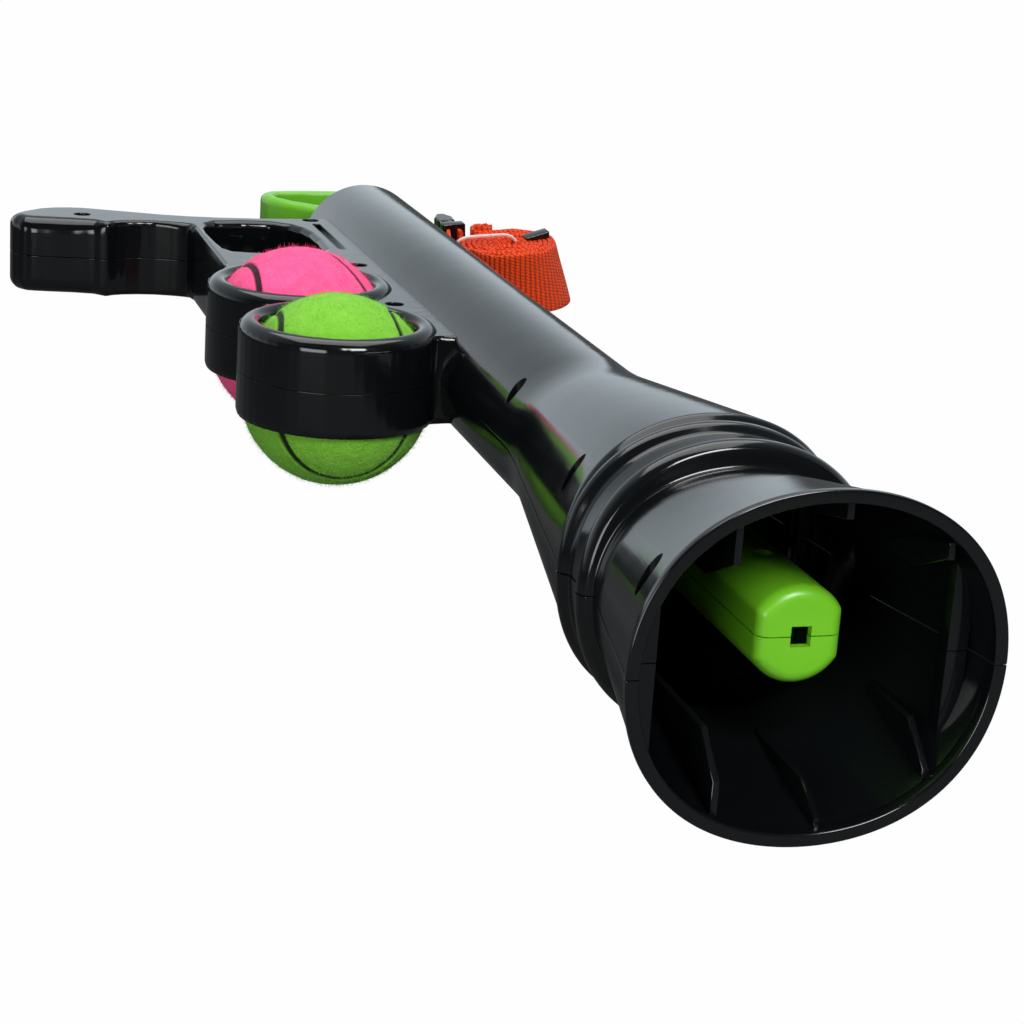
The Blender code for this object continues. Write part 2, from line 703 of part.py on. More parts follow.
def barrel_shell(name, side, parent, holes):
    outer = outer_profile()
    inner = inner_profile()
    rows = outer + inner[::-1]
    bm = bmesh.new()
    loops = []
    for i in range(BARREL_STEPS + 1):
        angle = math.pi * i / BARREL_STEPS
        loops.append([bm.verts.new(barrel_point(y, rx, rz, angle, side)) for y, rx, rz in rows])
    bridge(bm, loops)
    for ends in (loops[0], loops[-1]):
        bm.faces.new(ends)
    shell = add_object(name, bm, BLACK_PLASTIC, parent)
    label = "upper" if side > 0.0 else "lower"
    for index in (-1, 0, 1):
        fuse(shell, rib_cutter(index, side, parent))
    core = wall_core(label, side, parent)
    for k, (x, y, seat) in enumerate(barrel_screw_spots()[:4]):
        low = side * SEAM_GAP / 2.0
        high = side * MOUTH_RZ
        bm = cylinder_mesh(BOSS_RADIUS, min(low, high), max(low, high), SCREW_STEPS, "Z", (x, y, 0.0))
        boss = add_object("%s_boss_%d" % (label, k + 1), bm, None, parent)
        add_boolean(boss, core, "INTERSECT")
        fuse(shell, boss)
    if side < 0.0:
        for k, spot in enumerate(FRAME_SCREW_SPOTS[:2]):
            bm = prism_mesh(ear_outline(spot, 0.0), -SEAM_GAP / 2.0 - EAR_THICKNESS, -SEAM_GAP / 2.0)
            fuse(shell, add_object("ear_blank_%d" % (k + 1), bm, None, parent))
    cut(shell, *holes)
    weld(shell)
    return shell


def wall_core(label, side, parent):
    """The barrel's front half as a solid, out to the middle of its wall."""
    rows = [row for row in outer_profile() if row[0] <= FLARE_BACK_Y]
    depth = FLARE_WALL / 2.0
    bm = bmesh.new()
    loops = []
    for y, rx, rz in rows:
        ring = []
        for i in range(BARREL_STEPS + 1):
            angle = math.pi * i / BARREL_STEPS
            x, y, z = barrel_point(y, rx - depth, rz - depth, angle, side)
            ring.append(bm.verts.new((x, y, z - side * SEAM_GAP)))
        loops.append(ring)
    bridge(bm, loops)
    bm.faces.new(loops[0])
    bm.faces.new(loops[-1])
    return add_object("wall_core_" + label, bm, None, parent)


# Frame

def holder_centres():
    return ((-HOLDER_X, HOLDER_Y), (-HOLDER_X, HOLDER_Y + HOLDER_PITCH))


def frame_outline():
    """The frame's outline and, for each corner, the rounding of its edge."""
    points = []
    rounds = []

    def put(x, y, edge):
        points.append((x, y))
        rounds.append(edge)

    (front_x, front_y), (back_x, back_y) = holder_centres()
    reach = RAIL_OUTER_X - HOLDER_X
    start = math.degrees(math.atan2(-math.sqrt(HOLDER_RADIUS ** 2 - reach ** 2), -reach))
    put(-RAIL_INNER_X, front_y + HOLDER_RADIUS * math.sin(math.radians(start)), 0.0)
    sweep = start + 360.0 - HOLDER_WEB_ANGLE
    for i in range(HOLDER_STEPS + 1):
        angle = math.radians(start - sweep * i / HOLDER_STEPS)
        put(front_x + HOLDER_RADIUS * math.cos(angle), front_y + HOLDER_RADIUS * math.sin(angle), EDGE_ROUND)
    notch_x = front_x + HOLDER_RADIUS * math.cos(math.radians(HOLDER_WEB_ANGLE)) + HOLDER_NOTCH
    put(notch_x, front_y + HOLDER_PITCH / 2.0, EDGE_ROUND / 2.0)
    guard_turn = math.degrees(math.acos((-GUARD_X + HOLDER_X) / HOLDER_RADIUS)) + HOLDER_WEB_ANGLE / 9.0
    steps = HOLDER_STEPS - HOLDER_STEPS // 3
    sweep = 360.0 - HOLDER_WEB_ANGLE - guard_turn
    for i in range(steps + 1):
        angle = math.radians(-HOLDER_WEB_ANGLE - sweep * i / steps)
        put(back_x + HOLDER_RADIUS * math.cos(angle), back_y + HOLDER_RADIUS * math.sin(angle), EDGE_ROUND)
    for share in (0.0, 0.3, 0.65, 1.0):
        put(-GUARD_X, GUARD_FRONT_Y + (GUARD_BACK_Y - GUARD_FRONT_Y) * share, EDGE_ROUND)
    for s, w, edge in GRIP_FRONT_SHARES + GRIP_BACK_SHARES:
        put(-GRIP_ROOT_X - s * GRIP_REACH, GRIP_BACK_Y - w * GRIP_DEPTH, edge * GRIP_ROUND)
    put(-RAIL_INNER_X, FRAME_BACK_Y, 0.0)
    return points, rounds


def opening_outline():
    width = OPENING_OUTER_X - OPENING_INNER_X
    depth = OPENING_BACK_Y - OPENING_FRONT_Y
    return [(-OPENING_OUTER_X + s * width, OPENING_FRONT_Y + w * depth) for s, w in OPENING_SHARES]


def frame_cutters(parent):
    """Cutters that both frame shells share."""
    low = -FRAME_HALF_HEIGHT - CUT_OVERRUN
    high = FRAME_HALF_HEIGHT + CUT_OVERRUN
    cutters = []
    bm = cylinder_mesh(TUBE_RADIUS + FIT_GAP, RAIL_FRONT_Y - HOLDER_RADIUS, BARREL_LENGTH,
                       BARREL_STEPS * 2, "Y")
    cutters.append(add_object("saddle_cut", bm, None, parent))
    for k, (x, y) in enumerate(holder_centres()):
        profile = (
            (low, 0.0), (low, HOLDER_BORE), (HOLDER_LIP_Z, HOLDER_BORE),
            (HOLDER_TOP_Z, HOLDER_LIP_BORE), (HOLDER_TOP_Z + CUT_OVERRUN, HOLDER_LIP_BORE),
            (HOLDER_TOP_Z + CUT_OVERRUN, 0.0),
        )
        bm = lathe_mesh(profile, HOLDER_STEPS * 2, "Z", (x, y, 0.0))
        cutters.append(add_object("holder_cut_%d" % (k + 1), bm, None, parent))
    bm = prism_mesh(opening_outline(), low, high)
    cutters.append(add_object("opening_cut", bm, None, parent))
    roof = FRAME_HALF_HEIGHT - GRIP_WALL
    hollow = [(-GRIP_ROOT_X - s * GRIP_REACH, GRIP_BACK_Y - w * GRIP_DEPTH) for s, w in GRIP_HOLLOW_SHARES]
    bm = prism_mesh(hollow, -roof, roof)
    cutters.append(add_object("grip_hollow_cut", bm, None, parent))
    inner = -TUBE_RADIUS + TUBE_WALL
    floor_x = -CATCH_OUTER_X - catch_travel() - 2.0 * FIT_GAP
    pocket = (
        (inner, CATCH_FRONT_Y - FIT_GAP), (inner, POCKET_BACK_Y), (-POCKET_OUTER_X, POCKET_BACK_Y),
        (-POCKET_OUTER_X, CATCH_BACK_Y + FIT_GAP), (floor_x, CATCH_BACK_Y + FIT_GAP),
        (floor_x, CATCH_FRONT_Y - FIT_GAP),
    )
    bm = prism_mesh(pocket, -POCKET_HALF, POCKET_HALF)
    cutters.append(add_object("pocket_cut", bm, None, parent))
    slit = TRIGGER_PLATE_HALF + FIT_GAP
    bm = box_mesh((-OPENING_INNER_X - 2.0 * EDGE_ROUND, CATCH_BACK_Y - FIT_GAP, -slit),
                  (-POCKET_OUTER_X + FUSE_DEPTH, POCKET_BACK_Y, slit))
    cutters.append(add_object("trigger_slit_cut", bm, None, parent))
    hole = TRIGGER_PIN_HALF + FIT_GAP
    bm = cylinder_mesh(TRIGGER_PIN_RADIUS + FIT_GAP, -hole, hole, SCREW_STEPS, "Z",
                       (-TRIGGER_X, TRIGGER_Y, 0.0))
    cutters.append(add_object("trigger_pin_cut", bm, None, parent))
    return cutters


def holder_crowns(parent):
    """Rings that stand proud of the rail and keep the balls from going through."""
    edge = HOLDER_CROWN_EDGE
    crowns = []
    for k, (x, y) in enumerate(holder_centres()):
        profile = [(HOLDER_LIP_Z, 0.0), (HOLDER_LIP_Z, HOLDER_CROWN_RADIUS)]
        for i in range(4):
            turn = math.radians(90.0 * i / 3.0)
            profile.append((HOLDER_TOP_Z - edge + edge * math.sin(turn),
                            HOLDER_CROWN_RADIUS - edge + edge * math.cos(turn)))
        profile.append((HOLDER_TOP_Z, 0.0))
        bm = lathe_mesh(profile, HOLDER_STEPS * 2, "Z", (x, y, 0.0))
        crowns.append(add_object("holder_crown_%d" % (k + 1), bm, None, parent))
    return crowns


def frame_shell(name, side, parent, cutters, holes):
    points, rounds = frame_outline()
    bm = rounded_slab(points, rounds, side * SEAM_GAP / 2.0, side * FRAME_HALF_HEIGHT)
    shell = add_object(name, bm, BLACK_PLASTIC, parent)
    if side > 0.0:
        fuse(shell, *holder_crowns(parent))
    cut(shell, *cutters)
    label = "upper" if side > 0.0 else "lower"
    x, y = FRAME_SCREW_SPOTS[3]
    inside = side * SEAM_GAP / 2.0
    roof = side * (FRAME_HALF_HEIGHT - GRIP_WALL / 2.0)
    bm = cylinder_mesh(BOSS_RADIUS + FUSE_DEPTH, min(inside, roof), max(inside, roof),
                       SCREW_STEPS, "Z", (x, y, 0.0))
    fuse(shell, add_object("grip_boss_" + label, bm, None, parent))
    if side > 0.0:
        low = (-RAIL_SLOT_X - RAIL_SLOT_WIDTH / 2.0, RAIL_SLOT_FRONT_Y, FRAME_HALF_HEIGHT - RAIL_SLOT_DEPTH)
        high = (-RAIL_SLOT_X + RAIL_SLOT_WIDTH / 2.0, RAIL_SLOT_BACK_Y, FRAME_HALF_HEIGHT + CUT_OVERRUN)
        cut(shell, add_object("rail_slot_cut", box_mesh(low, high), None, parent))
    else:
        for k, spot in enumerate(FRAME_SCREW_SPOTS[:2]):
            floor_z = -SEAM_GAP / 2.0 - EAR_THICKNESS - FIT_GAP
            bm = prism_mesh(ear_outline(spot, FIT_GAP), floor_z, CUT_OVERRUN)
            cut(shell, add_object("ear_pocket_cut_%d" % (k + 1), bm, None, parent))
    cut(shell, *holes)
    weld(shell)
    return shell


# Plunger, rod, springs and handle

def plunger_back_y():
    stop = STOP_RING_Y + STOP_RING_LENGTH + FIT_GAP + BUMPER_LENGTH + FIT_GAP
    return stop + FLANGE_LENGTH


def chamber_back_y():
    return plunger_back_y() - FLANGE_LENGTH - CHAMBER_WALL


def plunger_half(name, side, parent):
    back = plunger_back_y()
    flange = back - FLANGE_LENGTH
    chamber = chamber_back_y()
    bore = ROD_RADIUS + FIT_GAP
    hollow = PLUNGER_RADIUS - PLUNGER_WALL
    inside_front = PLUNGER_FACE_Y + PLUNGER_WALL
    rib = chamber - CHAMBER_LENGTH - CHAMBER_WALL
    rows = (
        (PLUNGER_FACE_Y, 0.0), (PLUNGER_FACE_Y, PLUNGER_RADIUS - PLUNGER_EDGE),
        (PLUNGER_FACE_Y + PLUNGER_EDGE * 0.3, PLUNGER_RADIUS - PLUNGER_EDGE * 0.3),
        (PLUNGER_FACE_Y + PLUNGER_EDGE, PLUNGER_RADIUS), (flange, PLUNGER_RADIUS),
        (flange, FLANGE_RADIUS), (back, FLANGE_RADIUS), (back, bore), (chamber, bore),
        (chamber, CHAMBER_RADIUS), (chamber - CHAMBER_LENGTH, CHAMBER_RADIUS),
        (chamber - CHAMBER_LENGTH, bore), (rib, bore), (rib, hollow), (inside_front, hollow),
        (inside_front, 0.0),
    )
    steps = BARREL_STEPS - BARREL_STEPS // 3
    bm = bmesh.new()
    loops = []
    centre = {}
    for i in range(steps + 1):
        angle = math.pi * i / steps
        ring = []
        for k, (y, radius) in enumerate(rows):
            if radius == 0.0:
                if k not in centre:
                    centre[k] = bm.verts.new((0.0, y, side * SEAM_GAP / 2.0))
                ring.append(centre[k])
                continue
            flat = PLUNGER_FLAT if radius <= PLUNGER_RADIUS and y < flange + ROD_EDGE else radius
            x = max(-flat, min(flat, radius * math.cos(angle)))
            z = max(radius * math.sin(angle), SEAM_GAP / 2.0)
            ring.append(bm.verts.new((x, y, side * z)))
        loops.append(ring)
    count = len(rows)
    for lower, upper in zip(loops, loops[1:]):
        for k in range(count):
            corners = []
            for vert in (lower[k], lower[(k + 1) % count], upper[(k + 1) % count], upper[k]):
                if vert not in corners:
                    corners.append(vert)
            if len(corners) > 2:
                bm.faces.new(corners)
    for ends in (loops[0], loops[-1]):
        bm.faces.new(ends)
    half = add_object(name, bm, GREEN_PLASTIC, parent)
    label = "upper" if side > 0.0 else "lower"
    for k, y in enumerate(PLUNGER_SCREW_YS):
        low = side * SEAM_GAP / 2.0
        high = side * (PLUNGER_RADIUS - PLUNGER_WALL / 2.0)
        bm = cylinder_mesh(BOSS_RADIUS, min(low, high), max(low, high), SCREW_STEPS, "Z", (0.0, y, 0.0))
        fuse(half, add_object("plunger_boss_%s_%d" % (label, k + 1), bm, None, parent))
    hole = PLUNGER_HOLE / 2.0
    bm = box_mesh((-hole, PLUNGER_FACE_Y - CUT_OVERRUN, -hole), (hole, inside_front + CUT_OVERRUN, hole))
    cut(half, add_object("plunger_square_cut_" + label, bm, None, parent))
    for k, y in enumerate(PLUNGER_SCREW_YS):
        cut(half, screw_hole("plunger_screw_cut_%s_%d" % (label, k + 1), (0.0, y, PLUNGER_SCREW_SEAT),
                             SCREW_HEAD_RADIUS, PLUNGER_RADIUS + CUT_OVERRUN, PLUNGER_SCREW_DEPTH, parent))
    weld(half)
    return half


def bumper_ring(parent):
    low = STOP_RING_Y + STOP_RING_LENGTH + FIT_GAP
    high = low + BUMPER_LENGTH
    profile = ((low, STOP_RING_BORE), (low, BUMPER_RADIUS), (high, BUMPER_RADIUS), (high, STOP_RING_BORE))
    return add_object("bumper_ring", lathe_mesh(profile, BARREL_STEPS * 2, "Y"), BLACK_RUBBER, parent)


def catch_y():
    return (CATCH_FRONT_Y + CATCH_BACK_Y) / 2.0


def catch_travel():
    return TRIGGER_ARM_REACH * math.radians(TRIGGER_TRAVEL_DEG)


def draw_rod(parent):
    """Steel rod: collar in the plunger, groove that the catch meets when drawn."""
    chamber = chamber_back_y()
    front = chamber - CHAMBER_LENGTH + FIT_GAP
    groove = catch_y() - DRAW_TRAVEL
    back = HANDLE_FRONT_Y + HANDLE_SOCKET_DEPTH - FIT_GAP
    profile = (
        (front, 0.0), (front, COLLAR_RADIUS), (chamber - FIT_GAP, COLLAR_RADIUS),
        (chamber - FIT_GAP, ROD_RADIUS), (groove - GROOVE_HALF_LENGTH, ROD_RADIUS),
        (groove - GROOVE_HALF_LENGTH, GROOVE_RADIUS), (groove + GROOVE_HALF_LENGTH, GROOVE_RADIUS),
        (groove + GROOVE_HALF_LENGTH, ROD_RADIUS), (back - ROD_EDGE, ROD_RADIUS),
        (back, ROD_RADIUS - ROD_EDGE), (back, 0.0),
    )
    rod = add_object("draw_rod", lathe_mesh(profile, BARREL_STEPS, "Y"), STEEL, parent)
    bm = cylinder_mesh(HANDLE_PIN_RADIUS + FIT_GAP, -TUBE_RADIUS, TUBE_RADIUS, SCREW_STEPS, "Z",
                       (0.0, HANDLE_PIN_Y, 0.0))
    cut(rod, add_object("rod_pin_cut", bm, None, parent))
    return rod


def spring_stop_front_y():
    return SPRING_LEDGE_Y - FIT_GAP - STOP_PLATE_LENGTH


def spring_stop(parent):
    back = SPRING_LEDGE_Y - FIT_GAP
    plate = spring_stop_front_y()
    hub = back + STOP_PLATE_HUB_LENGTH
    rim = TUBE_RADIUS - TUBE_WALL - FIT_GAP
    bore = ROD_RADIUS + FIT_GAP
    profile = (
        (plate, bore), (plate, rim), (back, rim), (back, STOP_PLATE_HUB_RADIUS),
        (hub, STOP_PLATE_HUB_RADIUS), (hub, bore),
    )
    return add_object("spring_stop", lathe_mesh(profile, BARREL_STEPS * 2, "Y"), GREY_PLASTIC, parent)


def rear_guide(parent):
    back = BARREL_LENGTH - END_LIP_LENGTH - FIT_GAP
    front = GUIDE_LEDGE_Y + GUIDE_LEDGE_LENGTH + FIT_GAP
    rim = TUBE_RADIUS - TUBE_WALL - FIT_GAP
    bore = ROD_RADIUS + FIT_GAP
    hub = back + END_LIP_LENGTH
    profile = (
        (front, bore), (front, rim), (back, rim), (back, GUIDE_HUB_RADIUS),
        (hub, GUIDE_HUB_RADIUS), (hub, bore),
    )
    return add_object("rear_guide", lathe_mesh(profile, BARREL_STEPS * 2, "Y"), BLACK_PLASTIC, parent)


def main_spring(parent):
    front = plunger_back_y() + FIT_GAP + SPRING_WIRE_RADIUS
    back = spring_stop_front_y() - FIT_GAP - SPRING_WIRE_RADIUS
    count = SPRING_CURLS * SPRING_CURL_POINTS
    steps = np.arange(count + 1)
    angles = 2.0 * math.pi * steps / SPRING_CURL_POINTS
    share = steps / count
    path = np.stack([
        SPRING_MEAN_RADIUS * np.cos(angles),
        front + (back - front) * share,
        SPRING_MEAN_RADIUS * np.sin(angles),
    ], axis=1)
    pitch = (back - front) / SPRING_CURLS
    print("main_spring least gap mm", round((pitch - 2.0 * SPRING_WIRE_RADIUS) * 1000.0, 2))
    bm = sweep_mesh(path, SPRING_WIRE_RADIUS, WIRE_SIDES)
    return add_object("main_spring", bm, SPRING_STEEL, parent)


def handle_point(s, w, side):
    reach = HANDLE_RIGHT_REACH if side > 0.0 else HANDLE_LEFT_REACH
    return side * s * reach, HANDLE_FRONT_Y + w * HANDLE_LENGTH


def pull_handle(parent):
    left = [handle_point(s, w, -1.0) for s, w in HANDLE_OUTER_SHARES]
    right = [handle_point(s, w, 1.0) for s, w in HANDLE_OUTER_SHARES[::-1]]
    outline = left + right
    bm = bmesh.new()
    levels = []
    for turn in (0.0, 45.0, 90.0):
        angle = math.radians(turn)
        inset = HANDLE_ROUND * (1.0 - math.cos(angle))
        rise = HANDLE_HALF_HEIGHT - HANDLE_ROUND * (1.0 - math.sin(angle))
        levels.append((inset, rise))
    sections = [(inset, -rise) for inset, rise in levels[::-1]] + levels
    loops = []
    for inset, z in sections:
        ring = inset_outline(outline, [inset] * len(outline))
        loops.append([bm.verts.new((x, y, z)) for x, y in ring])
    bridge(bm, loops)
    bm.faces.new(loops[0])
    bm.faces.new(loops[-1])
    handle = add_object("pull_handle", bm, GREEN_PLASTIC, parent)
    left = [handle_point(s, w, -1.0) for s, w in HANDLE_HOLE_SHARES]
    right = [handle_point(s, w, 1.0) for s, w in HANDLE_HOLE_SHARES[::-1]]
    reach = HANDLE_HALF_HEIGHT + CUT_OVERRUN
    cut(handle, add_object("handle_hole_cut", prism_mesh(left + right, -reach, reach), None, parent))
    bm = cylinder_mesh(ROD_RADIUS + FIT_GAP, HANDLE_FRONT_Y - CUT_OVERRUN,
                       HANDLE_FRONT_Y + HANDLE_SOCKET_DEPTH, BARREL_STEPS, "Y")
    cut(handle, add_object("handle_socket_cut", bm, None, parent))
    bm = cylinder_mesh(HANDLE_PIN_RADIUS + FIT_GAP, -reach, reach, SCREW_STEPS, "Z", (0.0, HANDLE_PIN_Y, 0.0))
    cut(handle, add_object("handle_pin_cut", bm, None, parent))
    return handle


def handle_pin(parent):
    reach = HANDLE_HALF_HEIGHT - FIT_GAP
    bm = cylinder_mesh(HANDLE_PIN_RADIUS, -reach, reach, SCREW_STEPS, "Z", (0.0, HANDLE_PIN_Y, 0.0))
    return add_object("handle_pin", bm, STEEL, parent)


# Trigger and catch

def trigger(parent):
    hub_x = -TRIGGER_X
    tip_x = hub_x + TRIGGER_ARM_SHIFT
    tip_y = TRIGGER_Y - TRIGGER_ARM_REACH
    root_x = -TRIGGER_BLADE_X - EDGE_ROUND / 2.0
    plate = [
        (tip_x - TRIGGER_ARM_HALF, tip_y), (tip_x + TRIGGER_ARM_HALF, tip_y),
        (tip_x + TRIGGER_ARM_HALF, TRIGGER_Y - TRIGGER_HUB_RADIUS),
        (hub_x + TRIGGER_HUB_RADIUS, TRIGGER_Y - TRIGGER_HUB_RADIUS / 2.0),
        (hub_x + TRIGGER_HUB_RADIUS, TRIGGER_Y + TRIGGER_HUB_RADIUS / 2.0),
        (hub_x + TRIGGER_HUB_RADIUS / 2.0, TRIGGER_Y + TRIGGER_HUB_RADIUS),
        (root_x, TRIGGER_Y + TRIGGER_HUB_RADIUS), (root_x, TRIGGER_Y - TRIGGER_HUB_RADIUS),
        (tip_x - TRIGGER_ARM_HALF, TRIGGER_Y - TRIGGER_HUB_RADIUS),
    ]
    bm = prism_mesh(plate, -TRIGGER_PLATE_HALF, TRIGGER_PLATE_HALF)
    lever = add_object("trigger", bm, BLACK_PLASTIC, parent, (hub_x, TRIGGER_Y, 0.0))
    blade = [(-TRIGGER_BLADE_X - s * TRIGGER_BLADE_LENGTH, TRIGGER_BLADE_BACK_Y - w * TRIGGER_BLADE_WIDTH)
             for s, w in TRIGGER_BLADE_SHARES]
    bm = prism_mesh(blade, -TRIGGER_BLADE_HALF, TRIGGER_BLADE_HALF)
    fuse(lever, add_object("trigger_blade_blank", bm, None, parent))
    reach = TRIGGER_BLADE_HALF + CUT_OVERRUN
    bm = cylinder_mesh(TRIGGER_PIN_RADIUS + FIT_GAP, -reach, reach, SCREW_STEPS, "Z", (hub_x, TRIGGER_Y, 0.0))
    cut(lever, add_object("trigger_bore_cut", bm, None, parent))
    return lever


def trigger_pin(parent):
    bm = cylinder_mesh(TRIGGER_PIN_RADIUS, -TRIGGER_PIN_HALF, TRIGGER_PIN_HALF, SCREW_STEPS, "Z",
                       (-TRIGGER_X, TRIGGER_Y, 0.0))
    return add_object("trigger_pin", bm, STEEL, parent)


def trigger_spring(parent):
    """Torsion spring round the pin, beside the trigger's plate."""
    low = TRIGGER_PLATE_HALF + FIT_GAP + TRIGGER_SPRING_WIRE
    high = POCKET_HALF - FIT_GAP - TRIGGER_SPRING_WIRE
    count = TRIGGER_SPRING_CURLS * SPRING_CURL_POINTS
    steps = np.arange(count + 1)
    angles = 2.0 * math.pi * steps / SPRING_CURL_POINTS
    path = np.stack([
        -TRIGGER_X + TRIGGER_SPRING_RADIUS * np.cos(angles),
        TRIGGER_Y + TRIGGER_SPRING_RADIUS * np.sin(angles),
        low + (high - low) * steps / count,
    ], axis=1)
    gap = (high - low) / TRIGGER_SPRING_CURLS - 2.0 * TRIGGER_SPRING_WIRE
    print("trigger_spring least gap mm", round(gap * 1000.0, 2))
    return add_object("trigger_spring", sweep_mesh(path, TRIGGER_SPRING_WIRE, WIRE_SIDES), SPRING_STEEL, parent)


def catch(parent):
    tip = -ROD_RADIUS - FIT_GAP
    notch_y = CATCH_BACK_Y - CATCH_NOTCH_Y
    arm_x = -TRIGGER_X + TRIGGER_ARM_SHIFT
    side = TRIGGER_ARM_HALF + 2.0 * FIT_GAP
    middle = catch_y()
    outline = [
        (-CATCH_OUTER_X, CATCH_FRONT_Y), (tip - GROOVE_RADIUS, CATCH_FRONT_Y),
        (tip, middle - ROD_EDGE), (tip, middle + GROOVE_HALF_LENGTH / 2.0),
        (tip - GROOVE_RADIUS, CATCH_BACK_Y), (arm_x + side, CATCH_BACK_Y), (arm_x + side, notch_y),
        (arm_x - side, notch_y), (arm_x - side, CATCH_BACK_Y), (-CATCH_OUTER_X, CATCH_BACK_Y),
    ]
    bm = prism_mesh(outline, -CATCH_HALF, CATCH_HALF)
    return add_object("catch", bm, GREY_PLASTIC, parent, (-CATCH_OUTER_X, middle, 0.0))


def ball(name, centre, rise, look, parent):
    bm = bmesh.new()
    bmesh.ops.create_uvsphere(bm, u_segments=24, v_segments=12, radius=BALL_RADIUS)
    spot = (*centre, BALL_Z + rise)
    bmesh.ops.translate(bm, verts=bm.verts, vec=spot)
    return add_object(name, bm, look, parent, spot)


# Strap set

def strap_path():
    """Spiral from the core outwards, then the tail's small raised curl."""
    pitch = STRAP_THICKNESS + STRAP_GAP
    count = int(STRAP_TURNS * STRAP_TURN_POINTS)
    end = math.radians(STRAP_END_ANGLE)
    rows = []
    for i in range(count + 1):
        turns_left = (count - i) / STRAP_TURN_POINTS
        angle = end - 2.0 * math.pi * turns_left
        radius = STRAP_OUTER_RADIUS - STRAP_THICKNESS / 2.0 - pitch * turns_left
        rows.append((radius * STRAP_OVAL_SHARE * math.cos(angle), radius * math.sin(angle), 0.0))
    path = np.array(rows)
    heading = path[-1] - path[-2]
    heading /= np.linalg.norm(heading)
    outward = np.array((heading[1], -heading[0], 0.0))
    centre = path[-1] + outward * STRAP_TAIL_RADIUS
    tail = []
    turn = 1.55 * math.pi
    for i in range(1, STRAP_TAIL_POINTS + 1):
        share = i / STRAP_TAIL_POINTS
        angle = turn * share
        spot = centre + STRAP_TAIL_RADIUS * (-outward * math.cos(angle) + heading * math.sin(angle))
        rise = STRAP_TAIL_RISE * share * share * (3.0 - 2.0 * share)
        tail.append((spot[0], spot[1], rise))
    return np.vstack([path, np.array(tail)])


def strap_roll(parent):
    path = strap_path()
    flat = path.copy()
    flat[:, 2] = 0.0
    tangent = np.gradient(flat, axis=0)
    tangent /= np.linalg.norm(tangent, axis=1, keepdims=True)
    side = np.stack([-tangent[:, 1], tangent[:, 0], np.zeros(len(path))], axis=1) * STRAP_THICKNESS / 2.0
    up = np.array((0.0, 0.0, STRAP_WIDTH))
    bm = bmesh.new()
    loops = []
    place = np.array((STRAP_ROLL_X, STRAP_ROLL_Y, STRAP_BOTTOM))
    for point, half in zip(path + place, side):
        corners = (point - half, point + half, point + half + up, point - half + up)
        loops.append([bm.verts.new(corner) for corner in corners])
    bridge(bm, loops)
    bm.faces.new(loops[0])
    bm.faces.new(loops[-1])
    spread = np.linalg.norm(flat[:, None, :] - flat[None, :, :], axis=2)
    far = np.abs(np.arange(len(flat))[:, None] - np.arange(len(flat))[None, :]) > STRAP_TURN_POINTS // 3
    print("strap_roll least gap mm", round((float(spread[far].min()) - STRAP_THICKNESS) * 1000.0, 2))
    return add_object("strap_roll", bm, ORANGE_WEBBING, parent)


def strap_tie(parent):
    """Clear tie: a flat oval loop over one side of the roll."""
    half_height = STRAP_WIDTH / 2.0 + TIE_RADIUS + FIT_GAP
    middle = STRAP_BOTTOM + STRAP_WIDTH / 2.0
    bm = bmesh.new()
    loops = []
    for i in range(TIE_POINTS):
        angle = 2.0 * math.pi * i / TIE_POINTS
        c = math.cos(angle)
        s = math.sin(angle)
        along = TIE_HALF_LENGTH * math.copysign(abs(c) ** TIE_SQUARE_SHARE, c)
        lift = half_height * math.copysign(abs(s) ** TIE_SQUARE_SHARE, s) + TIE_CROWN * max(s, 0.0) ** 3.0
        centre = Vector((TIE_CENTRE_X + along, TIE_CENTRE_Y, middle + lift))
        outward = Vector((c, 0.0, s))
        ring = []
        for k in range(WIRE_SIDES):
            turn = 2.0 * math.pi * k / WIRE_SIDES
            ring.append(bm.verts.new(centre + outward * TIE_RADIUS * math.cos(turn)
                                     + Vector((0.0, 1.0, 0.0)) * TIE_RADIUS * math.sin(turn)))
        loops.append(ring)
    bridge(bm, loops, closed=True)
    return add_object("strap_tie", bm, CLEAR_PLASTIC, parent)


# Strap fittings

def strap_lead(parent):
    """Free length of webbing on edge, from the roll to the hook."""
    path = np.array(LEAD_SPOTS)
    tangent = np.gradient(path, axis=0)
    tangent /= np.linalg.norm(tangent, axis=1, keepdims=True)
    side = np.stack([-tangent[:, 1], tangent[:, 0]], axis=1) * STRAP_THICKNESS / 2.0
    low = STRAP_BOTTOM
    high = STRAP_BOTTOM + STRAP_WIDTH
    bm = bmesh.new()
    loops = []
    for spot, half in zip(path, side):
        near = spot - half
        far = spot + half
        corners = ((*near, low), (*far, low), (*far, high), (*near, high))
        loops.append([bm.verts.new(corner) for corner in corners])
    bridge(bm, loops)
    bm.faces.new(loops[0])
    bm.faces.new(loops[-1])
    return add_object("strap_lead", bm, ORANGE_WEBBING, parent)


def strap_slider(parent):
    """Two-slot slider: the lead runs through the slot nearer the barrel."""
    slider = add_object("strap_slider", box_mesh(SLIDER_LOW, SLIDER_HIGH), BLACK_PLASTIC, parent)
    low = STRAP_BOTTOM - FIT_GAP
    high = STRAP_BOTTOM + STRAP_WIDTH + FIT_GAP
    for k in range(2):
        middle = SLIDER_SLOT_X + k * SLIDER_SLOT_PITCH
        bm = box_mesh((middle - SLIDER_SLOT_HALF, SLIDER_LOW[1] - CUT_OVERRUN, low),
                      (middle + SLIDER_SLOT_HALF, SLIDER_HIGH[1] + CUT_OVERRUN, high))
        cut(slider, add_object("slider_slot_cut_%d" % (k + 1), bm, None, parent))
    return slider


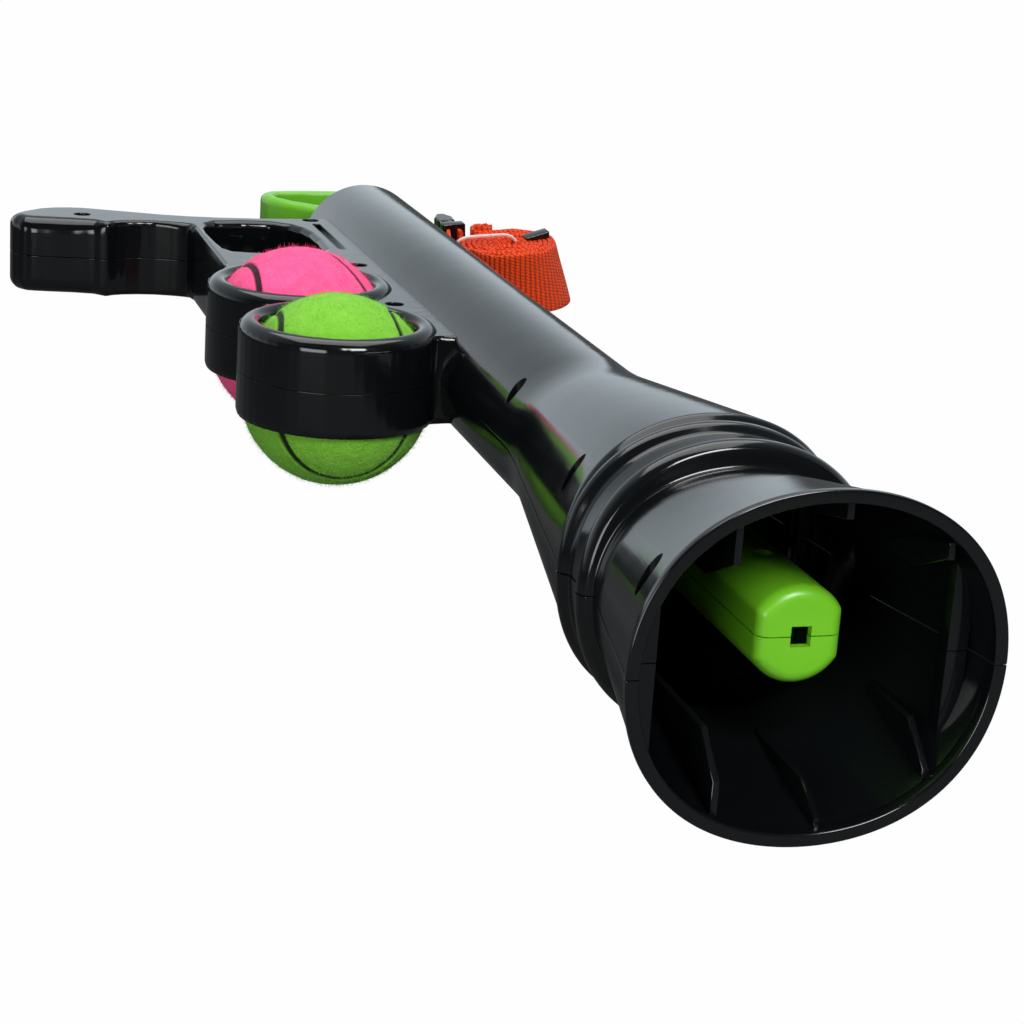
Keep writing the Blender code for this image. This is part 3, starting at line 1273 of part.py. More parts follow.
def strap_hook(parent):
    """Clip on the lead's end: a slot from below takes the webbing."""
    hook = add_object("strap_hook", prism_mesh(HOOK_OUTLINE, HOOK_LOW_Z, HOOK_HIGH_Z), BLACK_PLASTIC, parent)
    end_x, end_y = LEAD_SPOTS[-1]
    bm = box_mesh((end_x - SLIDER_SLOT_HALF, HOOK_OUTLINE[0][1] - CUT_OVERRUN, HOOK_LOW_Z - CUT_OVERRUN),
                  (end_x + SLIDER_SLOT_HALF, HOOK_OUTLINE[0][1] + HOOK_SLOT_DEPTH,
                   STRAP_BOTTOM + STRAP_WIDTH + FIT_GAP))
    cut(hook, add_object("hook_slot_cut", bm, None, parent))
    return hook


def strap_end_clip(parent):
    """Wedge-shaped tongue that lies on the roll's top edge."""
    base = STRAP_BOTTOM + STRAP_WIDTH + FIT_GAP
    bm = box_mesh((*CLIP_LOW, base), (*CLIP_HIGH, base + CLIP_THICK))
    for vert in bm.verts:
        if vert.co.x < CLIP_HIGH[0] - FIT_GAP and vert.co.z > base + FIT_GAP:
            vert.co.z = base + CLIP_THIN
    return add_object("strap_end_clip", bm, BLACK_PLASTIC, parent)


# How the launcher lies

def lying_matrix():
    """Ground plane through the rim, the tube's back end and the front ball."""
    ball_centre = Vector((-HOLDER_X, HOLDER_Y, BALL_Z))
    up = Vector((0.0, 0.0, 1.0))
    height = 0.0
    for _ in range(60):
        low = -MOUTH_SHIFT * up.x - math.hypot(MOUTH_RX * up.x, MOUTH_RZ * up.z)
        tilt = (low + TUBE_RADIUS * math.hypot(up.x, up.z)) / BARREL_LENGTH
        lean = (low - ball_centre.y * tilt - ball_centre.z * up.z + BALL_RADIUS) / ball_centre.x
        up = Vector((lean, tilt, math.sqrt(1.0 - lean * lean - tilt * tilt)))
        height = -low
    back = Vector((0.0, 1.0, 0.0)) - up * up.y
    back.normalize()
    right = back.cross(up)
    turn = Matrix((right, back, up)).to_4x4()
    return Matrix.Translation((0.0, 0.0, height)) @ turn


def centre_on_ground(stands):
    """Shift everything so that the origin is below the middle of the whole set."""
    bpy.context.view_layer.update()
    graph = bpy.context.evaluated_depsgraph_get()
    low = np.full(3, np.inf)
    high = np.full(3, -np.inf)
    for thing in bpy.data.objects:
        if thing.type != "MESH" or thing.hide_render:
            continue
        mesh = thing.evaluated_get(graph).to_mesh()
        matrix = np.array(thing.matrix_world)
        spots = np.array([tuple(vert.co) for vert in mesh.vertices])
        spots = spots @ matrix[:3, :3].T + matrix[:3, 3]
        low = np.minimum(low, spots.min(axis=0))
        high = np.maximum(high, spots.max(axis=0))
    shift = Vector((-(low[0] + high[0]) / 2.0, -(low[1] + high[1]) / 2.0, -low[2]))
    for stand in stands:
        stand.location = stand.location + shift
    print("size mm", np.round((high - low) * 1000.0, 1), "shift mm", [round(v * 1000.0, 3) for v in shift])


def add_stand(name, matrix):
    stand = bpy.data.objects.new(name, None)
    bpy.context.collection.objects.link(stand)
    stand.matrix_world = matrix
    return stand


def build():
    clear_scene()
    launcher = add_stand("launcher_stand", lying_matrix())
    strap_set = add_stand("strap_stand", Matrix.Identity(4))

    deep = -FRAME_HALF_HEIGHT
    barrel_holes = []
    for k, spot in enumerate(barrel_screw_spots()):
        barrel_holes.append(screw_hole("barrel_screw_cut_%d" % (k + 1), spot, SCREW_HEAD_RADIUS,
                                       MOUTH_RZ + CUT_OVERRUN, SCREW_GRIP_DEPTH, launcher))
    frame_holes = []
    for k, (x, y) in enumerate(FRAME_SCREW_SPOTS):
        frame_holes.append(screw_hole("frame_screw_cut_%d" % (k + 1), (x, y, FRAME_SCREW_SEAT),
                                      FRAME_SCREW_HEAD_RADIUS, FRAME_HALF_HEIGHT + CUT_OVERRUN,
                                      SCREW_GRIP_DEPTH, launcher))
    slot = box_mesh(
        (-TUBE_RADIUS - CUT_OVERRUN, CATCH_FRONT_Y - FIT_GAP, -CATCH_HALF - FIT_GAP),
        (-TUBE_RADIUS + TUBE_WALL * 2.0, CATCH_BACK_Y + FIT_GAP, CATCH_HALF + FIT_GAP),
    )
    catch_slot = add_object("catch_slot_cut", slot, None, launcher)
    barrel_cuts = barrel_holes + [catch_slot]
    barrel_shell("barrel_upper_shell", 1.0, launcher, barrel_cuts)
    barrel_shell("barrel_lower_shell", -1.0, launcher, barrel_cuts + frame_holes[:2])
    cutters = frame_cutters(launcher)
    frame_shell("frame_upper_shell", 1.0, launcher, cutters, frame_holes)
    frame_shell("frame_lower_shell", -1.0, launcher, cutters, frame_holes)

    for k, spot in enumerate(barrel_screw_spots()):
        screw_piece("barrel_screw_%d" % (k + 1), spot, SCREW_HEAD_RADIUS, SCREW_GRIP_DEPTH, launcher)
    for k, (x, y) in enumerate(FRAME_SCREW_SPOTS):
        screw_piece("frame_screw_%d" % (k + 1), (x, y, FRAME_SCREW_SEAT), FRAME_SCREW_HEAD_RADIUS,
                    SCREW_GRIP_DEPTH, launcher)
    for k, y in enumerate(PLUNGER_SCREW_YS):
        screw_piece("plunger_screw_%d" % (k + 1), (0.0, y, PLUNGER_SCREW_SEAT), SCREW_HEAD_RADIUS,
                    PLUNGER_SCREW_DEPTH, launcher)

    plunger_half("plunger_upper_half", 1.0, launcher)
    plunger_half("plunger_lower_half", -1.0, launcher)
    bumper_ring(launcher)
    draw_rod(launcher)
    main_spring(launcher)
    spring_stop(launcher)
    rear_guide(launcher)
    pull_handle(launcher)
    handle_pin(launcher)
    trigger(launcher)
    trigger_pin(launcher)
    trigger_spring(launcher)
    catch(launcher)
    front, back = holder_centres()
    ball("front_ball", front, 0.0, GREEN_FELT, launcher)
    ball("rear_ball", back, REAR_BALL_RISE, PINK_FELT, launcher)
    strap_roll(strap_set)
    strap_tie(strap_set)
    strap_lead(strap_set)
    strap_slider(strap_set)
    strap_hook(strap_set)
    strap_end_clip(strap_set)
    settle_shapes()
    centre_on_ground((launcher, strap_set))


build()
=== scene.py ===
"""Dog ball thrower: the looks of the launcher, its balls and its rolled strap, and the studio."""

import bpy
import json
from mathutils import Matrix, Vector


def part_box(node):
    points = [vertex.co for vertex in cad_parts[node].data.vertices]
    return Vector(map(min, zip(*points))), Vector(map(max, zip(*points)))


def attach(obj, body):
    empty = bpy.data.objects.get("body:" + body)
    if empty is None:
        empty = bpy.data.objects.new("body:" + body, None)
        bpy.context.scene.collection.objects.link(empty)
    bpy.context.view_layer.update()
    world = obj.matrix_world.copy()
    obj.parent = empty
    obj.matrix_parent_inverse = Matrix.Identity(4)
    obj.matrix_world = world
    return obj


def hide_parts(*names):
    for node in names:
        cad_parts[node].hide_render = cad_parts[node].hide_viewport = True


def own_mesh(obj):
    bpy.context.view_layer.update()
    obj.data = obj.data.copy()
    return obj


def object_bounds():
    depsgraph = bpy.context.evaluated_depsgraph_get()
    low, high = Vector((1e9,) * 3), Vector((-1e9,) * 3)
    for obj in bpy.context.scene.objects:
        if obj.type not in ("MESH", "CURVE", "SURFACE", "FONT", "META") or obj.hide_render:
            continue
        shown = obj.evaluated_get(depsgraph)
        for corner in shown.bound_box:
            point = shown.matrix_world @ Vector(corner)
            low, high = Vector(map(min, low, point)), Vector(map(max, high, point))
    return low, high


bl_info = {
    "name": "Dog ball thrower",
    "version": (1, 0, 0),
    "blender": (4, 5, 0),
    "location": "3D View > Sidebar > Ball thrower",
    "description": "Dresses the packed dog ball thrower and sets up its studio",
    "category": "Object",
}

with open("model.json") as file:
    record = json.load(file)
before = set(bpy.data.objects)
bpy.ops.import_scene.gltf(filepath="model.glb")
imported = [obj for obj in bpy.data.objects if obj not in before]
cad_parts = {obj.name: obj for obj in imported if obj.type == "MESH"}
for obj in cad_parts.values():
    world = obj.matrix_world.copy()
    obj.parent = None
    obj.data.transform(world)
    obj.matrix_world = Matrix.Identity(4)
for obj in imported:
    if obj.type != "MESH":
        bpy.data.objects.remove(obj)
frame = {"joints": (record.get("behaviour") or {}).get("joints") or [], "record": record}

import functools
import json
import math

import bmesh
import bpy
import numpy as np
from bpy.props import FloatProperty, FloatVectorProperty, IntProperty, PointerProperty
from mathutils import Matrix, Quaternion, Vector
from mathutils.geometry import delaunay_2d_cdt

CAD_BOX = [list(corner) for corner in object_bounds()]

# Camera, in the launcher's own axes
CAMERA_SPOT = (-0.224029, -0.466982, 0.188022)
CAMERA_RIGHT = (0.9594442, -0.2744145, 0.0645255)
CAMERA_UP = (0.0206137, 0.2965795, 0.9547857)
CAMERA_LENS = 84.165
SENSOR_WIDTH = 36.0

# The floor lies low enough for the balls at the end of their way out
FLOOR_DROP = 0.0850

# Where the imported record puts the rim's mount, in the launcher's own axes
RIM_MOUNT_X = -0.0046
RIM_MOUNT_Z = 0.0412

# Clearances and mesh steps
SEAM = 0.00015
FIT_GAP = 0.0003
SEAM_EASE = 0.00015
SEAM_TURN = 0.010
FRAME_SEAM_EASE = 0.00004
FLAT_RING = 0.00008
WELD = 0.000004
MILLIMETRES = 1000.0
TURNS = 6
ROUND_STEPS = 64
CARVED_SHARP = 32.0

# Barrel: (distance from the mouth, radius across, radius up, corner radius)
TUBE_RADIUS = 0.0250
BARREL_OUTSIDE = (
    (0.0000, 0.0469, 0.0434, 0.0006), (0.0021, 0.0468, 0.0433, 0.0004), (0.0025, 0.0463, 0.0428, 0.0003),
    (0.0032, 0.0462, 0.0427, 0.0010), (0.0556, 0.0362, 0.0322, 0.0007), (0.0560, 0.0380, 0.0370, 0.0006),
    (0.0580, 0.0396, 0.0386, 0.0011), (0.0608, 0.0396, 0.0386, 0.0011), (0.0630, 0.0371, 0.0361, 0.0009),
    (0.0723, 0.0373, 0.0363, 0.0009), (0.0745, 0.0396, 0.0386, 0.0011), (0.0773, 0.0396, 0.0386, 0.0011),
    (0.0793, 0.0381, 0.0371, 0.0006), (0.0816, 0.0392, 0.0392, 0.0009), (0.1860, 0.02535, 0.02535, 0.0140),
    (0.3400, 0.0250, 0.0250, 0.0100), (0.5016, 0.0250, 0.0250, 0.0007),
)
BARREL_INSIDE = (
    (0.5016, 0.0205, 0.0205, 0.0005), (0.4986, 0.0205, 0.0205, 0.0003), (0.4986, 0.0230, 0.0230, 0.0002),
    (0.4887, 0.0230, 0.0230, 0.0002), (0.4887, 0.0205, 0.0205, 0.0003), (0.4857, 0.0205, 0.0205, 0.0003),
    (0.4857, 0.0230, 0.0230, 0.0002), (0.4110, 0.0230, 0.0230, 0.0002), (0.4110, 0.0190, 0.0190, 0.0003),
    (0.4080, 0.0190, 0.0190, 0.0003), (0.4080, 0.0230, 0.0230, 0.0002), (0.2040, 0.0230, 0.0230, 0.0002),
    (0.2040, 0.0142, 0.0142, 0.0006), (0.1960, 0.0142, 0.0142, 0.0006), (0.1960, 0.0230, 0.0230, 0.0004),
    (0.1860, 0.0230, 0.0230, 0.0060), (0.0820, 0.0370, 0.0370, 0.0050), (0.0556, 0.0338, 0.0298, 0.0020),
    (0.0036, 0.0437, 0.0402, 0.0003), (0.0030, 0.0433, 0.0398, 0.0003), (0.0000, 0.0436, 0.0401, 0.0006),
)
SHIFT_STATIONS = (0.0, 0.0556, 0.0759, 0.0820, 0.1860)
SHIFTS = (0.0046, 0.0050, 0.0050, 0.0034, 0.0)
SQUARE_SHARE = 0.024
SQUARE_STATIONS = (0.0, 0.0820, 0.1860)
WALL_MIDDLE = 0.0011
BARREL_STEPS = 121

# Ball ribs: plane across, back end along, height past the slant, height at the mouth above and below the seam
RIB_THICKNESS = 0.0019
RIB_FRONT_Y = 0.0032
RIB_WALL_END = 0.0821
RIB_ROOT = 0.0008
RIB_EDGE = 0.0004
RIB_SLANTS = (0.0200, 0.0140)
RIBS = (
    (-0.0263, 0.0520, 0.0177, 0.0253, 0.0271),
    (0.0000, 0.0440, 0.0316, 0.0354, 0.0380),
    (0.0263, 0.0370, 0.0177, 0.0250, 0.0268),
)

# Screws: (across, along, seat height)
BARREL_SCREWS = (
    (-0.0435, 0.0128, 0.0105), (0.0343, 0.0128, 0.0105), (-0.03471, 0.0971, 0.0105),
    (0.02889, 0.0971, 0.0105), (-0.0202, 0.2000, 0.0062), (0.0202, 0.2000, 0.0062),
)
BARREL_HEAD = 0.0025
BOSS_RADIUS = 0.0028
FRAME_SCREWS = (
    (-0.0300, 0.3180, 0.0050), (-0.0280, 0.3845, 0.0050), (-0.0281, 0.4735, 0.0050), (-0.1186, 0.4800, 0.0050),
)
FRAME_HEAD = 0.0029
PLUNGER_SCREWS = ((0.0, 0.0490, 0.0062), (0.0, 0.1500, 0.0062))
SCREW_HEAD_HEIGHT = 0.0018
SCREW_SHANK = 0.0013
SCREW_DOME = 0.0006
SCREW_EDGE = (0.0003, 0.0004)
SCREW_POINT = 0.0015
SCREW_STEPS = 48
SCREW_RINGS = (0.0, 0.12, 0.22, 0.32, 0.42, 0.52, 0.62, 0.72, 0.82, 0.90, 0.96, 1.0)

# Cross in a screw's head: its depth, then half width, side's slope, reach and end's slope as shares of the head
CROSS_DEPTH = 0.0011
CROSS_SHARES = (0.20, 0.07, 0.66, 0.12)

# Frame
FRAME_TOP = 0.0149
HOLDERS = ((-0.0567, 0.2845), (-0.0567, 0.3490))
HOLDER_RADIUS = 0.0328
HOLDER_BORE = 0.0311
HOLDER_LIP = 0.0256
HOLDER_LIP_FOOT = 0.0050
HOLDER_TOP = 0.0170
HOLDER_WEB_ANGLE = 104.0
HOLDER_NOTCH = 0.0010
RAIL_OUTER_X = 0.0276
RAIL_INNER_X = 0.0170
FRAME_BACK_Y = 0.4780
GUARD_X = 0.0782
GUARD_SPAN = (0.3850, 0.4570)
GRIP_ROOT_X = 0.0326
GRIP_REACH = 0.1138
GRIP_BACK_Y = 0.4995
GRIP_DEPTH = 0.0400
GRIP_SHARES = (
    (0.405, 1.020, 0.45), (0.412, 0.955, 0.50), (0.440, 0.900, 0.45), (0.475, 0.850, 0.35),
    (0.520, 0.810, 0.30), (0.570, 0.800, 0.30), (0.620, 0.815, 0.32), (0.655, 0.850, 0.36),
    (0.680, 0.905, 0.40), (0.700, 0.900, 0.55), (0.735, 0.850, 0.85), (0.800, 0.810, 1.00),
    (0.870, 0.775, 1.00), (0.930, 0.740, 1.00), (0.970, 0.680, 0.90), (0.995, 0.560, 0.80),
    (1.000, 0.440, 0.80), (0.985, 0.330, 0.90), (0.950, 0.210, 1.00), (0.905, 0.090, 1.00),
    (0.850, 0.020, 1.00), (0.790, 0.000, 1.00), (0.735, 0.015, 1.00), (0.680, 0.075, 1.00),
    (0.620, 0.160, 0.90), (0.550, 0.255, 0.80), (0.470, 0.365, 0.70), (0.380, 0.450, 0.60),
    (0.280, 0.510, 0.50), (0.150, 0.545, 0.40), (0.030, 0.540, 0.36),
)
OPENING_LOW = (-0.0746, 0.4070)
OPENING_HIGH = (-0.0340, 0.4693)
OPENING_SHARES = (
    (0.020, 0.120), (0.000, 0.420), (0.010, 0.640), (0.050, 0.790), (0.130, 0.900), (0.300, 0.980),
    (0.550, 1.000), (0.820, 0.980), (0.930, 0.915), (0.990, 0.780), (1.000, 0.600), (0.985, 0.300),
    (0.960, 0.120), (0.880, 0.045), (0.740, 0.015), (0.480, 0.000), (0.240, 0.000), (0.090, 0.035),
)
SLOT_X = -0.0275
SLOT_SPAN = (0.4140, 0.4660)
SLOT_HALF = 0.0015
SLOT_DEPTH = 0.0016
RAIL_EDGE = 0.0012
GUARD_TURN = 11.6
HOLDER_FOOT_EDGE = 0.0005
HOLDER_STEPS = 128
SADDLE_GAP = 0.0001
FRAME_WALL_ROWS = (0.0125, 0.009, 0.006, 0.003, 0.0003)

# Plunger and what runs behind it
PLUNGER_FACE_Y = 0.0232
PLUNGER_RADIUS = 0.0124
PLUNGER_FLAT = 0.0109
PLUNGER_BACK_Y = 0.2136
FLANGE_RADIUS = 0.0200
FLANGE_THICKNESS = 0.0050
FLANGE_EDGE = 0.0005
PLUNGER_FRONT_WALL = 0.0022
PLUNGER_HOLLOW = 0.0102
CHAMBER_DEPTH = 0.0090
ROD_WEB = (0.0076, 0.0036)
ROD_POCKET = 0.0078
ROD_HOLE = 0.0053
SQUARE_HALF = 0.0026
ROD_RADIUS = 0.0050
SPRING_MEAN = 0.0100
SPRING_WIRE = 0.0010
SPRING_CURLS = 16

# Turned pieces: (along, radius, corner radius); pins: their middle, radius and half length
TURNED_EDGE = 0.0004
STOP_FRONT_Y = 0.4042
TURNED = (
    ("draw_rod", "steel", (
        (0.2010 + FIT_GAP, 0.0, 0.0), (0.2010 + FIT_GAP, 0.0075, TURNED_EDGE), (0.2046 - FIT_GAP, 0.0075, TURNED_EDGE),
        (0.2046 - FIT_GAP, ROD_RADIUS, TURNED_EDGE), (0.34275, ROD_RADIUS, TURNED_EDGE), (0.34275, 0.0034, TURNED_EDGE),
        (0.35195, 0.0034, TURNED_EDGE), (0.35195, ROD_RADIUS, TURNED_EDGE), (0.5187, ROD_RADIUS, 0.0006),
        (0.5187, 0.0, 0.0),
    )),
    ("bumper_ring", "black_rubber", (
        (0.2043, 0.0142, TURNED_EDGE), (0.2043, 0.0205, TURNED_EDGE), (0.2083, 0.0205, TURNED_EDGE),
        (0.2083, 0.0142, TURNED_EDGE),
    )),
    ("spring_stop", "grey_plastic", (
        (STOP_FRONT_Y, ROD_HOLE, TURNED_EDGE), (STOP_FRONT_Y, 0.0227, TURNED_EDGE), (0.4077, 0.0227, TURNED_EDGE),
        (0.4077, 0.0075, TURNED_EDGE), (0.4157, 0.0075, TURNED_EDGE), (0.4157, ROD_HOLE, TURNED_EDGE),
    )),
    ("rear_guide", "black_plastic", (
        (0.4890, ROD_HOLE, TURNED_EDGE), (0.4890, 0.0227, TURNED_EDGE), (0.4983, 0.0227, TURNED_EDGE),
        (0.4983, 0.0095, TURNED_EDGE), (0.5013, 0.0095, TURNED_EDGE), (0.5013, ROD_HOLE, TURNED_EDGE),
    )),
)

# Pull handle: shares of its reach each side and of its length
HANDLE_FRONT_Y = 0.5040
HANDLE_LENGTH = 0.0660
HANDLE_REACHES = (0.0332, 0.0280)
HANDLE_HALF = 0.0108
HANDLE_OUTER = (
    (0.24, 0.00), (0.25, 0.14), (0.37, 0.28), (0.60, 0.42), (0.82, 0.55), (0.95, 0.66),
    (1.00, 0.77), (0.97, 0.88), (0.86, 0.95), (0.60, 0.985), (0.30, 1.00),
)
HANDLE_HOLE = (
    (0.12, 0.36), (0.42, 0.455), (0.66, 0.58), (0.81, 0.70), (0.83, 0.79), (0.73, 0.86), (0.35, 0.885),
)
HANDLE_PIN_Y = 0.5110
SOCKET_DEPTH = 0.0150

# Trigger and catch
TRIGGER_X = 0.0290
TRIGGER_Y = 0.4580
BLADE_X = 0.0372
BLADE_BACK_Y = 0.4595
BLADE_LENGTH = 0.0160
BLADE_WIDTH = 0.0140
BLADE_HALF = 0.0058
BLADE_SHARES = (
    (0.00, 0.00), (0.30, 0.08), (0.60, 0.22), (0.85, 0.42), (1.00, 0.62), (1.00, 0.76),
    (0.92, 0.82), (0.76, 0.72), (0.50, 0.70), (0.25, 0.78), (0.00, 0.94),
)

CATCH_SPAN = (-0.0030, 0.0030)
CATCH_OUTLINE = (
    (-0.0295, 0.4435), (-0.0087, 0.4435), (-0.0053, 0.44675), (-0.0053, 0.44965), (-0.0087, 0.4512),
    (-0.0254, 0.4512), (-0.0254, 0.4475), (-0.0286, 0.4475), (-0.0286, 0.4512), (-0.0295, 0.4512),
)
PINS = (
    ("handle_pin", (0.0, HANDLE_PIN_Y, 0.0), 0.0015, HANDLE_HALF - FIT_GAP),
    ("trigger_pin", (-TRIGGER_X, TRIGGER_Y, 0.0), 0.0014, 0.0090),
)

# Balls: (across, along, up), and each seam's turn as a quaternion with the width of its lobes
BALL_RADIUS = 0.0317
BALL_STEPS = (180, 360)
BALL_UNEVENNESS = 0.000012
SEAM_DEPTH = 0.0007
SEAM_FADE = 0.0004
HELD_BAND = (-0.0080, 0.0120)
HIDDEN_BAND = (-0.0080, 0.0100)
BALL_FIBRE_WIDTH = 0.00011
FRONT_BALL = (-0.0567, 0.2845, -0.0064)
REAR_BALL = (-0.0567, 0.3490, -0.0039)
FRONT_SEAM = ((0.0005, -0.9085, 0.417, -0.0269), 0.79)
REAR_SEAM = ((0.1128, 0.2914, 0.9486, -0.0506), 0.72)

# Strap set, in its own axes: along from the launcher's origin, up from the ground
STRAP_CENTRE = (0.0590, 0.4810)
STRAP_WIDTH = 0.0250
STRAP_THICKNESS = 0.0017
STRAP_GAP = 0.0006
STRAP_EDGE = 0.0006
STRAP_ROWS = 19
STRAP_WAVER = 0.00035
STRAP_FIBRE_WIDTH = 0.00010
STRAP_OUTER = 0.0240
STRAP_CURLS = 9.0
STRAP_OVAL = 0.92
STRAP_FOOT = 0.0014
STRAP_END_ANGLE = 100.0
TAIL_RADIUS = 0.0052
TAIL_RISE = 0.0018
TAIL_TURN = 2.5
LEAD_SPOTS = (
    (0.0360, 0.4841), (0.0362, 0.4910), (0.0371, 0.4980), (0.0388, 0.5060), (0.0407, 0.5140), (0.0414, 0.5215),
    (0.0426, 0.5230), (0.0440, 0.5215), (0.0446, 0.5140), (0.0446, 0.5070),
)
SLIDER_LOW = (0.0376, 0.5110, 0.0003)
SLIDER_HIGH = (0.0476, 0.5170, 0.0284)
SLIDER_SLOTS = (0.04055, 0.04475)
SLIDER_SLOT_HALF = 0.0017
SLIDER_SLOT_TOP = 0.0220
HOOK_OUTLINE = (
    (0.0382, 0.5205), (0.0452, 0.5205), (0.0458, 0.5270), (0.0437, 0.5330), (0.0405, 0.5335), (0.0378, 0.5270),
)
HOOK_Z = (0.0090, 0.0282)
CLIP_LOW = (0.0662, 0.4815)
CLIP_HIGH = (0.0762, 0.4885)
CLIP_HEIGHTS = (0.0008, 0.0030)
TIE_HALF = 0.0144
TIE_RADIUS = 0.0007
TIE_SPOT = (0.0488, 0.4830)
TIE_CROWN = 0.0020
TIE_SQUARE = 0.34


# Where the launcher lies

def unit(vector):
    vector = np.array(vector, float)
    return vector / np.linalg.norm(vector)


def unit_rows(vectors):
    """Each row at length one."""
    return vectors / np.linalg.norm(vectors, axis=1, keepdims=True)


def round_angles(steps, first=0.0):
    """Even angles once round, the first one a share of a step on."""
    return 2.0 * math.pi * (np.arange(steps) + first) / steps


def launcher_place():
    """Origin and axes of the launcher: across, back along the barrel, and up from its seam."""
    joints = {joint["name"]: joint for joint in frame["joints"]}
    back = unit(joints["draw"]["axis"])
    right = -unit(joints["catch_release"]["axis"])
    up = np.cross(right, back)
    mounts = {mount["name"]: mount for mount in frame["record"]["mounts"]}
    rim = np.array(mounts["muzzle_rim"]["pos_m"])
    origin = rim - right * RIM_MOUNT_X - up * RIM_MOUNT_Z
    return origin, np.stack([right, back, up])


ORIGIN, AXES = launcher_place()
STRAP_ORIGIN = np.array((ORIGIN[0], ORIGIN[1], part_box("strap_roll")[0][2] - STRAP_FOOT))


def on_launcher(points):
    """Points in the launcher's own axes, moved to where the launcher lies."""
    return np.asarray(points, float) @ AXES + ORIGIN


def on_ground(points):
    """Points of the strap set, moved to where it stands beside the launcher."""
    return np.asarray(points, float) + STRAP_ORIGIN


# Surfaces

class Surface:
    """Points and faces of one piece, gathered grid by grid."""

    def __init__(self):
        self.points = []
        self.faces = []
        self.count = 0

    def add(self, points, faces):
        points = np.asarray(points, float).reshape(-1, 3)
        self.points.append(points)
        for group in faces:
            self.faces += (np.asarray(group) + self.count).tolist()
        self.count += len(points)

    def grid(self, points, wrap_rows=False, wrap_cols=False, ends=False):
        """Quads between neighbours of a grid; ends closes its first and last rows."""
        rows, cols = points.shape[:2]
        i = np.arange(rows if wrap_rows else rows - 1)[:, None]
        j = np.arange(cols if wrap_cols else cols - 1)[None, :]
        up = (i + 1) % rows
        on = (j + 1) % cols
        corners = (i * cols + j, i * cols + on, up * cols + on, up * cols + j)
        groups = [np.stack(np.broadcast_arrays(*corners), axis=-1).reshape(-1, 4)]
        if ends:
            groups += [[np.arange(cols)], [np.arange(cols) + (rows - 1) * cols]]
        self.add(points, groups)

    def flat(self, loops):
        """Triangles over a flat face: its outline first, then the holes in it."""
        self.add(*fill(loops))

    def placed(self, place):
        return place(np.concatenate(self.points)), self.faces


def crossings(points, loops):
    """True for points that an even-odd count puts inside the loops."""
    starts = np.concatenate(loops)
    ends = np.concatenate([np.roll(loop, -1, axis=0) for loop in loops])
    rise = ends[:, 1] - starts[:, 1]
    rise = np.where(np.abs(rise) < 1e-12, 1e-12, rise)
    y = points[:, 1][:, None]
    between = (starts[:, 1] > y) != (ends[:, 1] > y)
    x = starts[:, 0] + (y - starts[:, 1]) * (ends[:, 0] - starts[:, 0]) / rise
    return (between & (points[:, 0][:, None] < x)).sum(axis=1) % 2 == 1


def fill(loops):
    """Constrained Delaunay triangles of a flat face at the height of its loops, worked out in millimetres."""
    flats = [loop[:, :2] * MILLIMETRES for loop in loops]
    corners = [Vector(corner) for corner in np.concatenate(flats).tolist()]
    edges = []
    start = 0
    for flat in flats:
        index = np.arange(len(flat))
        edges += (np.stack([index, (index + 1) % len(flat)], axis=1) + start).tolist()
        start += len(flat)
    verts, _, triangles = delaunay_2d_cdt(corners, edges, [], 0, 1e-6)[:3]
    verts = np.array([tuple(vert) for vert in verts])
    triangles = np.array(triangles)
    kept = triangles[crossings(verts[triangles].mean(axis=1), flats)]
    points = np.column_stack([verts / MILLIMETRES, np.full(len(verts), loops[0][0, 2])])
    return points, [kept]


def smooth(mesh, sharp):
    """Smooth shading, with edges kept sharp that turn by more than so many degrees."""
    mesh.polygons.foreach_set("use_smooth", np.ones(len(mesh.polygons), bool))
    if sharp is not None:
        mesh.set_sharp_from_angle(angle=math.radians(sharp))


def make_piece(name, surface, material, place=on_launcher, sharp=38.0, uv=None, weld=True):
    """One mesh of a surface, its doubles merged, its faces pointing outwards."""
    points, faces = surface.placed(place)
    mesh = bpy.data.meshes.new(name)
    mesh.from_pydata(points.tolist(), [], faces)
    bm = bmesh.new()
    bm.from_mesh(mesh)
    if weld:
        bmesh.ops.remove_doubles(bm, verts=bm.verts, dist=WELD)
        loose = [vert for vert in bm.verts if not vert.link_faces]
        bmesh.ops.delete(bm, geom=loose, context="VERTS")
    bmesh.ops.recalc_face_normals(bm, faces=bm.faces)
    bm.to_mesh(mesh)
    bm.free()
    mesh.materials.append(material)
    smooth(mesh, sharp)
    if uv is not None:
        layer = mesh.uv_layers.new(name="cloth")
        corners = np.zeros(len(mesh.loops), np.int32)
        mesh.loops.foreach_get("vertex_index", corners)
        layer.data.foreach_set("uv", uv[corners].astype(np.float32).ravel())
    piece = bpy.data.objects.new(name, mesh)
    bpy.context.scene.collection.objects.link(piece)
    return piece


def body_of(node):
    for body, members in frame["record"]["behaviour"]["bodies"].items():
        if node in members:
            return body
    raise ValueError("no body carries " + node)


def stand_for(piece, node):
    """The piece takes its CAD node's place, moves with its body and has its finish."""
    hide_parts(node)
    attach(piece, body_of(node))
    return piece


def dress(node, slot, surface, kind="skin", **mesh):
    """Make the piece that shows in place of a CAD node."""
    return stand_for(make_piece(node + "_" + kind, surface, look(slot), **mesh), node)


def join_into(piece, extra):
    """Put another piece's mesh into this one's."""
    bm = bmesh.new()
    bm.from_mesh(piece.data)
    bm.from_mesh(extra.data)
    bm.to_mesh(piece.data)
    bm.free()
    bpy.data.objects.remove(extra, do_unlink=True)


